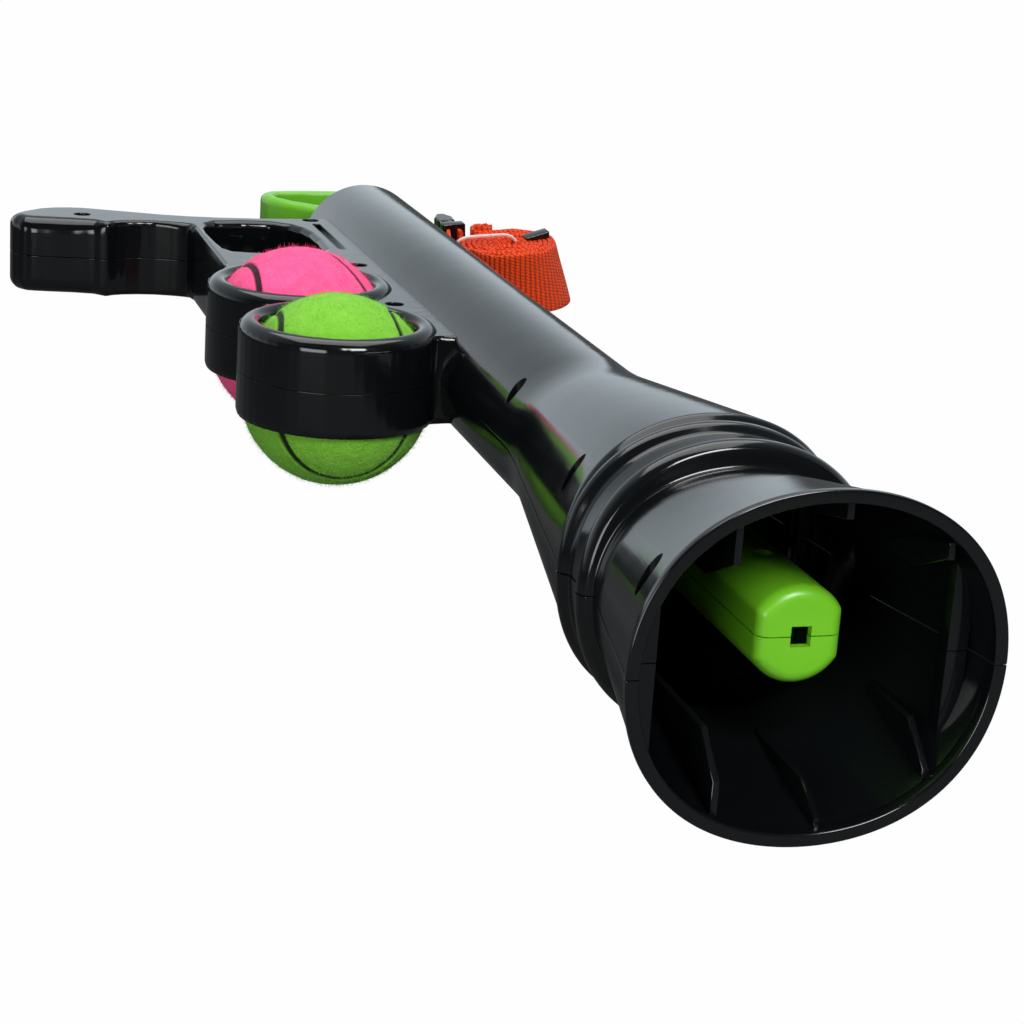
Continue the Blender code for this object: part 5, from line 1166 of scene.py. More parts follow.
def plunger_half(side, edge):
    """Rounded section with flat sides, carried over its front edge to the square hole and back inside."""
    angle = np.linspace(0.0, math.pi, 49)
    flange_y = PLUNGER_BACK_Y - FLANGE_THICKNESS
    chamber = PLUNGER_BACK_Y - CHAMBER_DEPTH
    rows = [(PLUNGER_BACK_Y, ROD_HOLE, 0), (PLUNGER_BACK_Y, FLANGE_RADIUS - FLANGE_EDGE, 0),
            (PLUNGER_BACK_Y - FLANGE_EDGE, FLANGE_RADIUS, 0), (flange_y + FLANGE_EDGE, FLANGE_RADIUS, 0),
            (flange_y, FLANGE_RADIUS - FLANGE_EDGE, 0), (flange_y, PLUNGER_RADIUS, 0)]
    for turn in np.linspace(0.0, math.pi / 2.0, 8):
        rows.append((PLUNGER_FACE_Y + edge * (1.0 - math.sin(turn)), PLUNGER_RADIUS - edge * (1.0 - math.cos(turn)), 0))
    rows += [(PLUNGER_FACE_Y, 0.0070, 0), (PLUNGER_FACE_Y, 0.0, 1), (PLUNGER_FACE_Y + 0.0002, 0.0, 1),
             (PLUNGER_FACE_Y + PLUNGER_FRONT_WALL, 0.0, 1), (PLUNGER_FACE_Y + PLUNGER_FRONT_WALL, PLUNGER_HOLLOW, 0)]
    web_front, web_back = (chamber - depth for depth in ROD_WEB)
    rows += [(web_front, PLUNGER_HOLLOW, 0), (web_front, ROD_HOLE, 0), (web_back, ROD_HOLE, 0),
             (web_back, ROD_POCKET, 0), (chamber, ROD_POCKET, 0), (chamber, ROD_HOLE, 0)]
    y, radius, square = np.array(rows).T
    cos, sin = np.cos(angle)[:, None], np.sin(angle)[:, None]
    reach = PLUNGER_FLAT - (PLUNGER_RADIUS - np.minimum(radius, PLUNGER_RADIUS))
    flat = np.where((y < flange_y + 0.0001) & (radius > 0.0), reach, 1.0)
    round_x = np.clip(radius * cos, -flat, flat)
    box = SQUARE_HALF / np.maximum(np.abs(cos), np.abs(sin))
    x = np.where(square > 0, box * cos, round_x)
    z = np.where(square > 0, box * sin, radius * sin)
    points = np.stack([x, np.broadcast_to(y, x.shape), side * np.maximum(z, SEAM)], axis=-1)
    surface = Surface()
    surface.grid(points, wrap_cols=True, ends=True)
    return surface


def handle_rim(shares, edge):
    left = [(-s * HANDLE_REACHES[0], HANDLE_FRONT_Y + w * HANDLE_LENGTH) for s, w in shares]
    right = [(s * HANDLE_REACHES[1], HANDLE_FRONT_Y + w * HANDLE_LENGTH) for s, w in shares[::-1]]
    return rim_rows(left + right, edge, 0.005, 5)


class THROWER_OT_plunger(bpy.types.Operator):
    """Make the plunger that pushes the ball, and the pull handle"""
    bl_idname = "thrower.plunger"
    bl_label = "Plunger and handle"

    def execute(self, context):
        sizes = context.scene.thrower_sizes
        green = look("green_plastic")
        for node, side in (("plunger_upper_half", 1.0), ("plunger_lower_half", -1.0)):
            piece = make_piece(node + "_skin", plunger_half(side, sizes.plunger_edge), green)
            if side > 0.0:
                carve(piece, pocket_cutters(PLUNGER_SCREWS, 0.02))
            stand_for(piece, node)
        edge = sizes.handle_edge
        inner = edge * 0.45
        span = (-HANDLE_HALF, HANDLE_HALF)
        outer = wall(handle_rim(HANDLE_OUTER, edge), *span, edge)
        hole = wall(handle_rim(HANDLE_HOLE, inner), *span, inner, -1.0)
        pin_top = wall(circle_rim(0.0, HANDLE_PIN_Y, 0.0018, 0.0003, 24), *span, 0.0003, -1.0, turns=3)
        piece = make_piece("pull_handle_skin", close_plate(outer, [hole, pin_top]), green)
        front, back, radius = HANDLE_FRONT_Y - 0.002, HANDLE_FRONT_Y + SOCKET_DEPTH, ROD_RADIUS + FIT_GAP
        socket = lathe([(front, 0.0, 0.0), (front, radius, 0.0), (back, radius, 0.0), (back, 0.0, 0.0)])
        carve(piece, [make_piece("handle_socket", socket, green, sharp=None)])
        stand_for(piece, "pull_handle")
        return {"FINISHED"}


# Rod, springs, trigger and catch

def helix(centre, radius, curls, span, axis):
    """A coil: a circle carried along its axis, 28 points to a turn."""
    share = np.linspace(0.0, 1.0, curls * 28 + 1)
    angle = 2.0 * math.pi * curls * share
    first = centre[0] + radius * np.cos(angle)
    second = centre[1] + radius * np.sin(angle)
    along = span[0] + (span[1] - span[0]) * share
    return np.column_stack({"Y": (first, along, second), "Z": (first, second, along)}[axis])


class THROWER_OT_works(bpy.types.Operator):
    """Make the rod, the springs, the bushes, the trigger and its catch"""
    bl_idname = "thrower.works"
    bl_label = "Rod, springs and trigger"

    def execute(self, context):
        for node, slot, profile in TURNED:
            dress(node, slot, lathe(profile))
        for node, spot, radius, half in PINS:
            profile = [(-half, 0.0, 0.0), (-half, radius, TURNED_EDGE), (half, radius, TURNED_EDGE), (half, 0.0, 0.0)]
            dress(node, "steel", lathe(profile, spot, "Z", 32))
        front = PLUNGER_BACK_Y + FIT_GAP + SPRING_WIRE
        back = STOP_FRONT_Y - FIT_GAP - SPRING_WIRE
        coil = sweep(helix((0.0, 0.0), SPRING_MEAN, SPRING_CURLS, (front, back), "Y"), SPRING_WIRE, 12)
        spring = dress("main_spring", "spring_steel", coil)
        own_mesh(spring)
        small = sweep(helix((-TRIGGER_X, TRIGGER_Y), 0.0026, 2, (0.0029, 0.0052), "Z"), 0.0003, 10)
        dress("trigger_spring", "spring_steel", small)
        dress("trigger", "black_plastic", trigger_lever())
        dress("catch", "grey_plastic", plate(straight_rim(np.array(CATCH_OUTLINE), 0.0002), *CATCH_SPAN, 0.0002))
        return {"FINISHED"}


def trigger_lever():
    """Two plates: the lever that turns on the pin, and the blade for the finger."""
    hub_x = -TRIGGER_X
    tip_x = hub_x + 0.0020
    tip_y = TRIGGER_Y - 0.0090
    root_x = -BLADE_X - 0.0010
    lever = np.array([
        (tip_x - 0.0010, tip_y), (tip_x + 0.0010, tip_y), (tip_x + 0.0010, TRIGGER_Y - 0.0030),
        (hub_x + 0.0030, TRIGGER_Y - 0.0015), (hub_x + 0.0030, TRIGGER_Y + 0.0015),
        (hub_x + 0.0015, TRIGGER_Y + 0.0030), (root_x, TRIGGER_Y + 0.0030), (root_x, TRIGGER_Y - 0.0030),
        (tip_x - 0.0010, TRIGGER_Y - 0.0030),
    ])
    rows = straight_rim(lever, 0.0002)
    surface = plate(rows, -0.0023, 0.0023, 0.0002, [circle_rim(hub_x, TRIGGER_Y, 0.0017, 0.0002, 32)])
    blade = [(-BLADE_X - s * BLADE_LENGTH, BLADE_BACK_Y - w * BLADE_WIDTH) for s, w in BLADE_SHARES]
    rim = rim_rows(blade, 0.0010, 0.0025, 4)
    return plate(rim, -BLADE_HALF, BLADE_HALF, 0.0010, surface=surface)


# Screws

def screw(spot, head, tip_z):
    """A pan head with a cross recess over a pointed shank, lathed about Z."""
    x, y, seat = spot
    base = seat + FIT_GAP
    top = base + SCREW_HEAD_HEIGHT
    radius = head * np.array(SCREW_RINGS)
    angle = round_angles(SCREW_STEPS)
    px = radius[:, None] * np.cos(angle)
    py = radius[:, None] * np.sin(angle)
    dome = top - SCREW_DOME * (radius / head) ** 4
    half, slope, reach, fade = CROSS_SHARES
    near = np.minimum(np.abs(px), np.abs(py))
    arm = np.clip((half * head - near) / (slope * head), 0.0, 1.0)
    short = np.clip((reach - radius[:, None] / head) / fade, 0.0, 1.0)
    pz = dome[:, None] - CROSS_DEPTH * arm * short
    rows = [np.stack([px + x, py + y, pz], axis=-1)]
    across, up = SCREW_EDGE
    shank = ((head, base + up), (head - across, base), (SCREW_SHANK, base), (SCREW_SHANK, tip_z + SCREW_POINT),
             (0.0, tip_z))
    for r, z in shank:
        ring = (x + r * np.cos(angle), y + r * np.sin(angle), np.full(SCREW_STEPS, z))
        rows.append(np.stack(ring, axis=-1)[None])
    surface = Surface()
    surface.grid(np.concatenate(rows), wrap_cols=True)
    return surface


class THROWER_OT_screws(bpy.types.Operator):
    """Make the screws that hold the barrel, the frame and the plunger"""
    bl_idname = "thrower.screws"
    bl_label = "Screws"

    def execute(self, context):
        groups = (
            ("barrel_screw_%d", BARREL_SCREWS, BARREL_HEAD, 0.0085),
            ("frame_screw_%d", FRAME_SCREWS, FRAME_HEAD, 0.0085),
            ("plunger_screw_%d", PLUNGER_SCREWS, BARREL_HEAD, 0.0075),
        )
        for pattern, spots, head, depth in groups:
            for k, spot in enumerate(spots):
                dress(pattern % (k + 1), "steel", screw(spot, head, -depth + FIT_GAP))
        return {"FINISHED"}


# Balls

def seam_curve(turn, a):
    """The curve of a two-lobed ball seam, 400 points on a unit sphere, turned by a matrix."""
    t = np.linspace(0.0, 2.0 * math.pi, 400, endpoint=False)
    b = 1.0 - a
    curve = np.stack([a * np.cos(t) + b * np.cos(3.0 * t), a * np.sin(t) - b * np.sin(3.0 * t),
                      2.0 * math.sqrt(a * b) * np.sin(2.0 * t)], axis=1)
    return unit_rows(curve) @ turn.T


def seam_share(ways, curve, width):
    """One on the seam, none beyond its edge, with a soft step between."""
    nearest = np.full(len(ways), 10.0)
    for part in np.array_split(curve, 10):
        nearest = np.minimum(nearest, np.linalg.norm(ways[:, None] - part[None], axis=2).min(axis=1))
    return np.clip(1.0 - (nearest * BALL_RADIUS - width / 2.0) / SEAM_FADE, 0.0, 1.0)


def within(heights, band):
    return (heights > band[0]) & (heights < band[1])


def felt_ball(node, slot, centre, turn, share, looks, seed):
    """A sphere squeezed to the holder's bore, with a pressed seam and a nap of fibres."""
    rng = np.random.default_rng(seed)
    rows, cols = BALL_STEPS
    theta = math.pi * np.arange(rows + 1)[:, None] / rows
    phi = round_angles(cols)[None, :]
    ways = (np.sin(theta) * np.cos(phi), np.sin(theta) * np.sin(phi), np.cos(theta))
    flat = np.stack(np.broadcast_arrays(*ways), axis=-1).reshape(-1, 3)
    curve = seam_curve(turn, share)
    seam = seam_share(flat, curve, looks.seam_width)
    knots = rng.normal(size=(24, 3)) * 26.0
    uneven = BALL_UNEVENNESS * np.sin(flat @ knots.T + rng.random(24) * 6.0).sum(axis=1)
    radius = BALL_RADIUS + uneven - SEAM_DEPTH * seam
    points = flat * radius[:, None]
    across = np.linalg.norm(points[:, :2], axis=1)
    held = np.minimum(1.0, (HOLDER_BORE - 0.0001) / np.maximum(across, 1e-6))
    points[:, :2] *= np.where(within(points[:, 2], HELD_BAND), held, 1.0)[:, None]
    surface = Surface()
    surface.grid((points + np.array(centre)).reshape(rows + 1, cols, 3), wrap_cols=True)
    roots = unit_rows(rng.normal(size=(looks.fibre_count, 3)))
    clear = seam_share(roots, curve, looks.seam_width * 1.2) < 0.5
    roots = roots[clear & ~within(roots[:, 2] * BALL_RADIUS, HIDDEN_BAND)]
    lean = unit_rows(roots + 1.1 * rng.normal(size=roots.shape))
    lean = np.where((np.sum(lean * roots, axis=1) < 0.15)[:, None], roots, lean)
    lengths = looks.fibre_length * (0.35 + 0.65 * rng.random(len(roots)) ** 2)
    fibres(surface, roots * (BALL_RADIUS - 0.0002) + np.array(centre), lean, lengths, BALL_FIBRE_WIDTH, rng)
    piece = dress(node, slot, surface, "felt", sharp=None)
    attribute = piece.data.attributes.new("seam", "FLOAT", "POINT")
    spots = np.zeros(len(piece.data.vertices) * 3)
    piece.data.vertices.foreach_get("co", spots)
    local = (spots.reshape(-1, 3) - on_launcher([centre])[0]) @ AXES.T
    solid = np.linalg.norm(local, axis=1) < BALL_RADIUS + 0.0001
    seam = seam_share(unit_rows(local), curve, looks.seam_width) * solid
    attribute.data.foreach_set("value", seam.astype(np.float32))


class THROWER_OT_balls(bpy.types.Operator):
    """Make the two felt balls in their holders"""
    bl_idname = "thrower.balls"
    bl_label = "Balls"

    def execute(self, context):
        looks = context.scene.thrower_looks
        balls = (
            ("front_ball", "green_felt", FRONT_BALL, FRONT_SEAM, 11),
            ("rear_ball", "pink_felt", REAR_BALL, REAR_SEAM, 23),
        )
        for node, slot, centre, (turn, share), seed in balls:
            felt_ball(node, slot, centre, np.array(Quaternion(turn).to_matrix()), share, looks, seed)
        return {"FINISHED"}


# Strap set

def strap_line():
    """Spiral from the core outwards, then the tail's small raised curl: points and the length to each."""
    pitch = STRAP_THICKNESS + STRAP_GAP
    count = int(STRAP_CURLS * 120)
    left = (count - np.arange(count + 1)) / 120.0
    angle = math.radians(STRAP_END_ANGLE) - 2.0 * math.pi * left
    radius = STRAP_OUTER - STRAP_THICKNESS / 2.0 - pitch * left
    spiral = np.column_stack([radius * STRAP_OVAL * np.cos(angle), radius * np.sin(angle), np.zeros(count + 1)])
    heading = unit(spiral[-1] - spiral[-2])
    outward = np.array((heading[1], -heading[0], 0.0))
    centre = spiral[-1] + outward * TAIL_RADIUS
    share = (np.arange(90) + 1.0)[:, None] / 90.0
    turn = TAIL_TURN * math.pi * share
    tail = centre + TAIL_RADIUS * (1.0 - 0.55 * share) * (-outward * np.cos(turn) + heading * np.sin(turn))
    tail[:, 2] = (TAIL_RISE * share * share * (3.0 - 2.0 * share))[:, 0]
    line = np.vstack([spiral, tail])
    share = np.concatenate([1.0 - left / STRAP_CURLS, np.ones(90)])
    return line, share


def webbing(line, flare=None, rng=None):
    """A flat strap on edge: a rounded oblong section carried along a line, with its cloth map."""
    flat = line.copy()
    flat[:, 2] = 0.0
    tangent = unit_rows(np.gradient(flat, axis=0))
    side = np.stack([-tangent[:, 1], tangent[:, 0], np.zeros(len(flat))], axis=1)
    half, width, edge = STRAP_THICKNESS / 2.0, STRAP_WIDTH, STRAP_EDGE
    bend = edge * 0.35
    middle = np.linspace(edge, width - edge, STRAP_ROWS - 4)
    heights = np.concatenate([[0.0, bend], middle, [width - bend, width]])
    thick = half * np.interp(heights, (0.0, bend, edge, width - edge, width - bend, width),
                             (0.45, 0.82, 1.0, 1.0, 0.82, 0.45))
    heights = np.concatenate([heights, heights[::-1]])
    thick = np.concatenate([thick, -thick[::-1]])
    spread = np.zeros((len(line), len(heights))) if flare is None else flare(line, heights / width)
    points = line[:, None] + side[:, None] * thick[None, :, None]
    way = flat / np.maximum(np.linalg.norm(flat, axis=1, keepdims=True), 1e-9)
    points = points + way[:, None] * spread[:, :, None]
    rise = np.zeros(len(line))
    if rng is not None:
        knots = rng.normal(size=len(line) // 5 + 4)
        rise = STRAP_WAVER * np.interp(np.arange(len(line)), 5.0 * np.arange(len(knots)), knots)
    points[:, :, 2] += STRAP_FOOT + heights[None] + rise[:, None] * (heights / width)[None]
    run = np.concatenate([[0.0], np.cumsum(np.linalg.norm(np.diff(line, axis=0), axis=1))])
    across = np.concatenate([heights[:STRAP_ROWS], heights[STRAP_ROWS:] + 2.0 * half])
    uv = np.stack(np.broadcast_arrays(run[:, None], across[None]), axis=-1)
    return points, uv.reshape(-1, 2)


def edge_fibres(surface, points, uv, count, looks, rng):
    """Loose ends that stand off the strap's top edge."""
    top = points[:, STRAP_ROWS - 1]
    index = rng.integers(2, len(top) - 2, count)
    roots = top[index] + (0.0009 * (rng.random((count, 3)) - 0.5))
    roots[:, 2] = top[index, 2] - 0.0002
    lean = unit_rows(rng.normal(size=(count, 3)) * (0.9, 0.9, 0.5) + (0.0, 0.0, 0.8))
    lengths = looks.strap_fibre * (0.3 + 0.7 * rng.random(count) ** 2)
    fibres(surface, roots, lean, lengths, STRAP_FIBRE_WIDTH, rng)
    more = np.repeat(uv.reshape(points.shape[0], -1, 2)[index, STRAP_ROWS - 1], 3, axis=0)
    return np.concatenate([uv, more])


class THROWER_OT_strap(bpy.types.Operator):
    """Make the rolled strap, its lead, slider, hook, end clip and clear tie"""
    bl_idname = "thrower.strap"
    bl_label = "Strap set"

    def execute(self, context):
        looks = context.scene.thrower_looks
        rng = np.random.default_rng(5)
        line, share = strap_line()

        def flare(path, height):
            angle = np.arctan2(path[:, 1], path[:, 0])
            toward = np.maximum(0.0, np.cos(angle + 0.35)) ** 1.5
            out = looks.strap_flare * toward * share ** 3
            gather = -looks.strap_gather * toward * np.linalg.norm(path[:, :2], axis=1) / STRAP_OUTER
            return out[:, None] * (1.0 - height[None]) ** 1.3 + gather[:, None] * height[None] ** 1.5

        points, uv = webbing(line, flare, rng)
        points = points + np.array((*STRAP_CENTRE, 0.0))
        surface = Surface()
        surface.grid(points, wrap_cols=True, ends=True)
        uv = edge_fibres(surface, points, uv, looks.strap_fibre_count, looks, rng)
        cloth = {"kind": "webbing", "place": on_ground, "sharp": 50.0, "weld": False}
        dress("strap_roll", "orange_webbing", surface, uv=uv, **cloth)

        spots = np.array(LEAD_SPOTS)
        steps = np.linspace(0.0, len(spots) - 1.0, 60)
        lead = np.column_stack([np.interp(steps, np.arange(len(spots)), column) for column in spots.T] + [0.0 * steps])
        points, uv = webbing(lead)
        surface = Surface()
        surface.grid(points, wrap_cols=True, ends=True)
        dress("strap_lead", "orange_webbing", surface, uv=uv, **cloth)

        low, high = np.array(SLIDER_LOW), np.array(SLIDER_HIGH)
        outline = oblong((low[0], high[0]), (low[2], high[2]))
        slots = [corner_rim(oblong((middle - SLIDER_SLOT_HALF, middle + SLIDER_SLOT_HALF),
                                   (STRAP_FOOT - FIT_GAP, SLIDER_SLOT_TOP)), 0.0004, 0.0004)
                 for middle in SLIDER_SLOTS]
        slider = plate(corner_rim(outline, 0.0008, 0.0006), low[1], high[1], 0.0004, slots, stand_up)
        dress("strap_slider", "black_plastic", slider, place=on_ground)

        hook = plate(rim_rows(HOOK_OUTLINE, 0.0008, 0.003, 3), *HOOK_Z, 0.0006)
        dress("strap_hook", "black_plastic", hook, place=on_ground)

        base = STRAP_FOOT + STRAP_WIDTH + FIT_GAP
        side = np.array(oblong((CLIP_LOW[0], CLIP_HIGH[0]), (base, base)))
        side[2:, 1] += CLIP_HEIGHTS[::-1]
        clip = plate(corner_rim(side, 0.0003, 0.0003), CLIP_LOW[1], CLIP_HIGH[1], 0.0003, (), stand_up)
        dress("strap_end_clip", "black_plastic", clip, place=on_ground)
        dress("strap_tie", "clear_plastic", tie_loop(), place=on_ground)
        return {"FINISHED"}


def oblong(across, up):
    """Corners of an upright oblong between two pairs of limits."""
    return [(across[0], up[0]), (across[1], up[0]), (across[1], up[1]), (across[0], up[1])]


def stand_up(points):
    """Turn a flat plate on edge."""
    return points[:, (0, 2, 1)]


def corner_rim(corners, radius, edge):
    """A straight-sided outline whose corners are Bezier arcs, as rows for a wall."""
    corners = np.asarray(corners, float)
    return straight_rim(rounded_loop(np.column_stack([corners, np.full(len(corners), radius)]), 4), edge)


def tie_loop():
    """A round cord along an upright superellipse with a raised crown: out and along Y make each ring."""
    angle = round_angles(96)
    c, s = np.cos(angle), np.sin(angle)
    along = TIE_HALF * np.sign(c) * np.abs(c) ** TIE_SQUARE
    lift = (STRAP_WIDTH / 2.0 + TIE_RADIUS + FIT_GAP) * np.sign(s) * np.abs(s) ** TIE_SQUARE
    lift = lift + TIE_CROWN * np.maximum(s, 0.0) ** 3
    middle = STRAP_FOOT + STRAP_WIDTH / 2.0
    loop = np.column_stack([TIE_SPOT[0] + along, np.full(96, TIE_SPOT[1]), middle + lift])
    steady = np.array((0.0, 1.0, 0.0))
    out = np.cross(unit_rows(np.roll(loop, -1, axis=0) - np.roll(loop, 1, axis=0)), steady)
    out *= np.sign(np.sum(out * (loop - loop.mean(axis=0)), axis=1))[:, None]
    turn = round_angles(10)[None, :, None]
    surface = Surface()
    surface.grid(loop[:, None] + TIE_RADIUS * (out[:, None] * np.cos(turn) + steady * np.sin(turn)),
                 wrap_rows=True, wrap_cols=True)
    return surface


# Studio

def softbox(name, spot, target, size, power):
    light = bpy.data.lights.new(name, "AREA")
    light.shape = "RECTANGLE"
    light.size, light.size_y = size
    light.energy = power
    thing = bpy.data.objects.new(name, light)
    bpy.context.scene.collection.objects.link(thing)
    thing.location = spot
    thing.rotation_euler = (Vector(target) - Vector(spot)).to_track_quat("-Z", "Y").to_euler()


def camera_mix(tree, share, plain, seen, out):
    """Show the camera a share of one shader, and all other rays another."""
    mix = tree.nodes.new("ShaderNodeMixShader")
    path = tree.nodes.new("ShaderNodeLightPath")
    tree.links.new(math_node(tree, "MULTIPLY", path.outputs["Is Camera Ray"], share), mix.inputs[0])
    tree.links.new(plain.outputs[0], mix.inputs[1])
    tree.links.new(seen.outputs[0], mix.inputs[2])
    tree.links.new(mix.outputs[0], out.inputs["Surface"])


def studio_world(studio):
    """White for the camera; for the rest bright behind the launcher and dim in front of it."""
    world = bpy.data.worlds.new("studio")
    world.use_nodes = True
    tree = world.node_tree
    tree.nodes.clear()
    out = tree.nodes.new("ShaderNodeOutputWorld")
    plain = tree.nodes.new("ShaderNodeBackground")
    seen = add_node(tree, "ShaderNodeBackground", values={"Color": (1.0, 1.0, 1.0, 1.0)})
    coords = tree.nodes.new("ShaderNodeTexCoord")
    split = tree.nodes.new("ShaderNodeSeparateXYZ")
    ramp = add_node(tree, "ShaderNodeMapRange", {"interpolation_type": "SMOOTHSTEP"},
                    {"From Min": -0.35, "From Max": 0.55, "To Min": studio.front_level, "To Max": 1.0})
    tree.links.new(coords.outputs["Generated"], split.inputs[0])
    tree.links.new(split.outputs["Y"], ramp.inputs["Value"])
    height = add_node(tree, "ShaderNodeMapRange", {"interpolation_type": "SMOOTHSTEP"},
                      {"From Min": 0.05, "From Max": 0.40,
                       "To Min": studio.horizon_level, "To Max": studio.zenith_level})
    tree.links.new(split.outputs["Z"], height.inputs["Value"])
    tree.links.new(height.outputs["Result"], plain.inputs["Strength"])
    shade = mix_colours(tree, ramp.outputs["Result"], (0.0, 0.0, 0.0), tuple(studio.sky))
    tree.links.new(shade, plain.inputs["Color"])
    camera_mix(tree, 1.0, plain, seen, out)
    return world


def floor_material(studio):
    material = bpy.data.materials.new("pale_floor")
    material.use_nodes = True
    tree = material.node_tree
    tree.nodes.clear()
    out = tree.nodes.new("ShaderNodeOutputMaterial")
    diffuse = add_node(tree, "ShaderNodeBsdfDiffuse", values={"Color": (studio.floor_shade,) * 3 + (1.0,)})
    glow = add_node(tree, "ShaderNodeEmission", values={"Color": (1.0, 1.0, 1.0, 1.0)})
    camera_mix(tree, studio.floor_glow, diffuse, glow, out)
    return material


class THROWER_OT_stage(bpy.types.Operator):
    """Set up the floor, the soft light, the world and the camera"""
    bl_idname = "thrower.stage"
    bl_label = "Studio"

    def execute(self, context):
        scene = context.scene
        studio = scene.thrower_studio
        scene.view_settings.view_transform = "Standard"
        scene.world = studio_world(studio)
        low = CAD_BOX[0][2] - FLOOR_DROP
        spread = np.linspace(-3.0, 3.0, 3)
        x, y = np.meshgrid(spread, spread)
        surface = Surface()
        surface.grid(np.stack([x, y, np.full(x.shape, low)], axis=-1))
        make_piece("floor", surface, floor_material(studio), np.asarray)
        softbox("overhead_softbox", (0.1, 0.3, 1.3), (0.0, 0.0, 0.0), (1.4, 1.4), studio.overhead_watts)
        front, left, mouth, holders = on_launcher([(0.10, -0.66, 0.66), (-0.75, -0.55, 0.10), (0.0, 0.03, 0.0),
                                                   (-0.05, 0.30, -0.02)])
        softbox("mouth_softbox", tuple(front), tuple(mouth), (0.40, 0.40), studio.mouth_watts)
        softbox("fill_softbox", tuple(left), tuple(holders), (0.55, 0.45), studio.fill_watts)

        camera = bpy.data.cameras.new("photo_camera")
        camera.sensor_fit = "HORIZONTAL"
        camera.sensor_width = SENSOR_WIDTH
        camera.lens = CAMERA_LENS
        camera.clip_start = 0.01
        camera.clip_end = 20.0
        right = unit(np.array(CAMERA_RIGHT) @ AXES)
        up = unit(np.array(CAMERA_UP) @ AXES)
        back = np.cross(right, up)
        matrix = np.identity(4)
        matrix[:3, 0], matrix[:3, 1], matrix[:3, 2] = right, up, back
        matrix[:3, 3] = on_launcher([CAMERA_SPOT])[0]
        thing = bpy.data.objects.new("photo_camera", camera)
        scene.collection.objects.link(thing)
        thing.matrix_world = Matrix(matrix.tolist())
        scene.camera = thing
        return {"FINISHED"}


# Values that a user would change

def length(name, description, default):
    return FloatProperty(name=name, description=description, default=default, min=0.0, unit="LENGTH", precision=5)


def colour(name, description, default):
    return FloatVectorProperty(name=name, description=description, default=default, size=3, min=0.0, max=1.0,
                               subtype="COLOR")


def factor(name, description, default):
    return FloatProperty(name=name, description=description, default=default, min=0.0, max=1.0, subtype="FACTOR")


def level(name, description, default):
    return FloatProperty(name=name, description=description, default=default, min=0.0)


def watts(name, description, default):
    return FloatProperty(name=name, description=description, default=default, min=0.0, unit="POWER")


def amount(name, description, default, most):
    return IntProperty(name=name, description=description, default=default, min=0, max=most)


class ThrowerSizes(bpy.types.PropertyGroup):
    crown_edge: length("Crown edge", "Outer edge radius of the ball holders' crowns", 0.0040)
    lip_edge: length("Lip edge", "Inner edge radius of the ball holders' crowns", 0.0028)
    guard_edge: length("Guard edge", "Edge radius of the trigger guard, across", 0.0018)
    guard_drop: length("Guard edge depth", "Edge radius of the trigger guard, down", 0.0060)
    grip_edge: length("Grip edge", "Largest edge radius of the grip", 0.0055)
    opening_edge: length("Opening edge", "Edge radius of the trigger opening", 0.0026)
    plunger_edge: length("Plunger edge", "Edge radius of the plunger's face", 0.0034)
    handle_edge: length("Handle edge", "Edge radius of the pull handle", 0.0032)


class ThrowerLooks(bpy.types.PropertyGroup):
    black: colour("Black plastic", "Colour of the shells", (0.0030, 0.0036, 0.0042))
    black_roughness: factor("Black roughness", "Roughness of the black plastic", 0.12)
    green: colour("Green plastic", "Colour of the plunger and the pull handle", (0.150, 0.490, 0.016))
    green_felt: colour("Green felt", "Colour of the front ball", (0.215, 0.540, 0.050))
    green_felt_shade: colour("Green felt shade", "Colour between the front ball's fibres", (0.145, 0.420, 0.028))
    pink_felt: colour("Pink felt", "Colour of the rear ball", (1.000, 0.125, 0.330))
    pink_felt_shade: colour("Pink felt shade", "Colour between the rear ball's fibres", (0.860, 0.070, 0.210))
    webbing: colour("Webbing", "Colour of the strap", (0.980, 0.082, 0.010))
    webbing_shade: colour("Webbing shade", "Colour between the strap's threads", (0.560, 0.030, 0.004))
    fibre_count: amount("Ball fibres", "Loose fibres on each ball", 16000, 30000)
    fibre_length: length("Ball fibre length", "Longest loose fibre on a ball", 0.0023)
    seam_width: length("Ball seam width", "Width of the bare seam on a ball", 0.0021)
    strap_fibre: length("Strap fibre length", "Longest loose fibre on the strap", 0.0016)
    strap_fibre_count: amount("Strap fibres", "Loose fibres on the strap", 2500, 9000)
    strap_gather: length("Strap gather", "How far the strap's outer turn is drawn in at its top", 0.0030)
    strap_flare: length("Strap flare", "How far the strap's outer turn leans out at its foot", 0.0042)


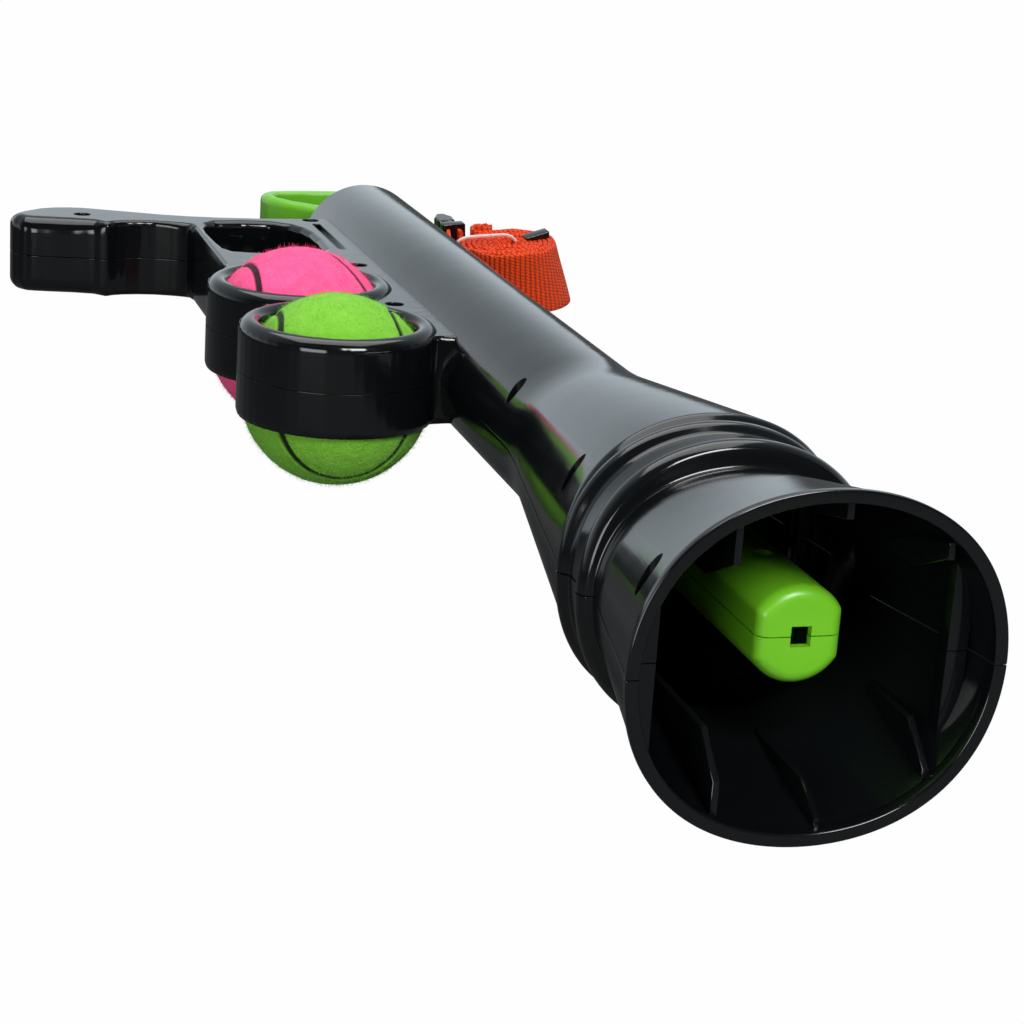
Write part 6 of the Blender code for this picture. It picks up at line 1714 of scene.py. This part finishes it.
class ThrowerStudio(bpy.types.PropertyGroup):
    overhead_watts: watts("Overhead light", "Power of the softbox above", 18.0)
    mouth_watts: watts("Mouth light", "Power of the small softbox before the mouth", 10.0)
    fill_watts: watts("Fill light", "Power of the softbox low on the left", 4.5)
    front_level: factor("Front level", "Brightness of the world before the mouth", 0.05)
    horizon_level: level("Horizon level", "Brightness of the world near the floor", 1.05)
    zenith_level: level("Zenith level", "Brightness of the world higher up", 0.58)
    sky: colour("Sky", "Colour of the soft light behind the launcher", (0.820, 0.930, 1.000))
    floor_shade: factor("Floor shade", "Grey of the floor under lamp light", 0.10)
    floor_glow: factor("Floor glow", "Share of plain white that the camera sees in the floor", 0.99)


class THROWER_PT_panel(bpy.types.Panel):
    bl_idname = "THROWER_PT_panel"
    bl_label = "Ball thrower"
    bl_space_type = "VIEW_3D"
    bl_region_type = "UI"
    bl_category = "Ball thrower"

    def draw(self, context):
        scene = context.scene
        for group in (scene.thrower_sizes, scene.thrower_looks, scene.thrower_studio):
            box = self.layout.box()
            for label in group.bl_rna.properties.keys():
                if label not in ("rna_type", "name"):
                    box.prop(group, label)
        for operator in OPERATORS:
            self.layout.operator(operator.bl_idname)


OPERATORS = (
    THROWER_OT_stage, THROWER_OT_barrel, THROWER_OT_frame, THROWER_OT_plunger, THROWER_OT_works,
    THROWER_OT_screws, THROWER_OT_balls, THROWER_OT_strap,
)
CLASSES = (ThrowerSizes, ThrowerLooks, ThrowerStudio) + OPERATORS + (THROWER_PT_panel,)


def register():
    for cls in CLASSES:
        bpy.utils.register_class(cls)
    bpy.types.Scene.thrower_sizes = PointerProperty(type=ThrowerSizes)
    bpy.types.Scene.thrower_looks = PointerProperty(type=ThrowerLooks)
    bpy.types.Scene.thrower_studio = PointerProperty(type=ThrowerStudio)


def unregister():
    del bpy.types.Scene.thrower_studio
    del bpy.types.Scene.thrower_looks
    del bpy.types.Scene.thrower_sizes
    for cls in reversed(CLASSES):
        bpy.utils.unregister_class(cls)


def main():
    register()
    make_materials(bpy.context.scene)
    bpy.ops.thrower.stage()
    bpy.ops.thrower.barrel()
    bpy.ops.thrower.frame()
    bpy.ops.thrower.plunger()
    bpy.ops.thrower.works()
    bpy.ops.thrower.screws()
    bpy.ops.thrower.balls()
    bpy.ops.thrower.strap()


if __name__ == "__main__":
    main()
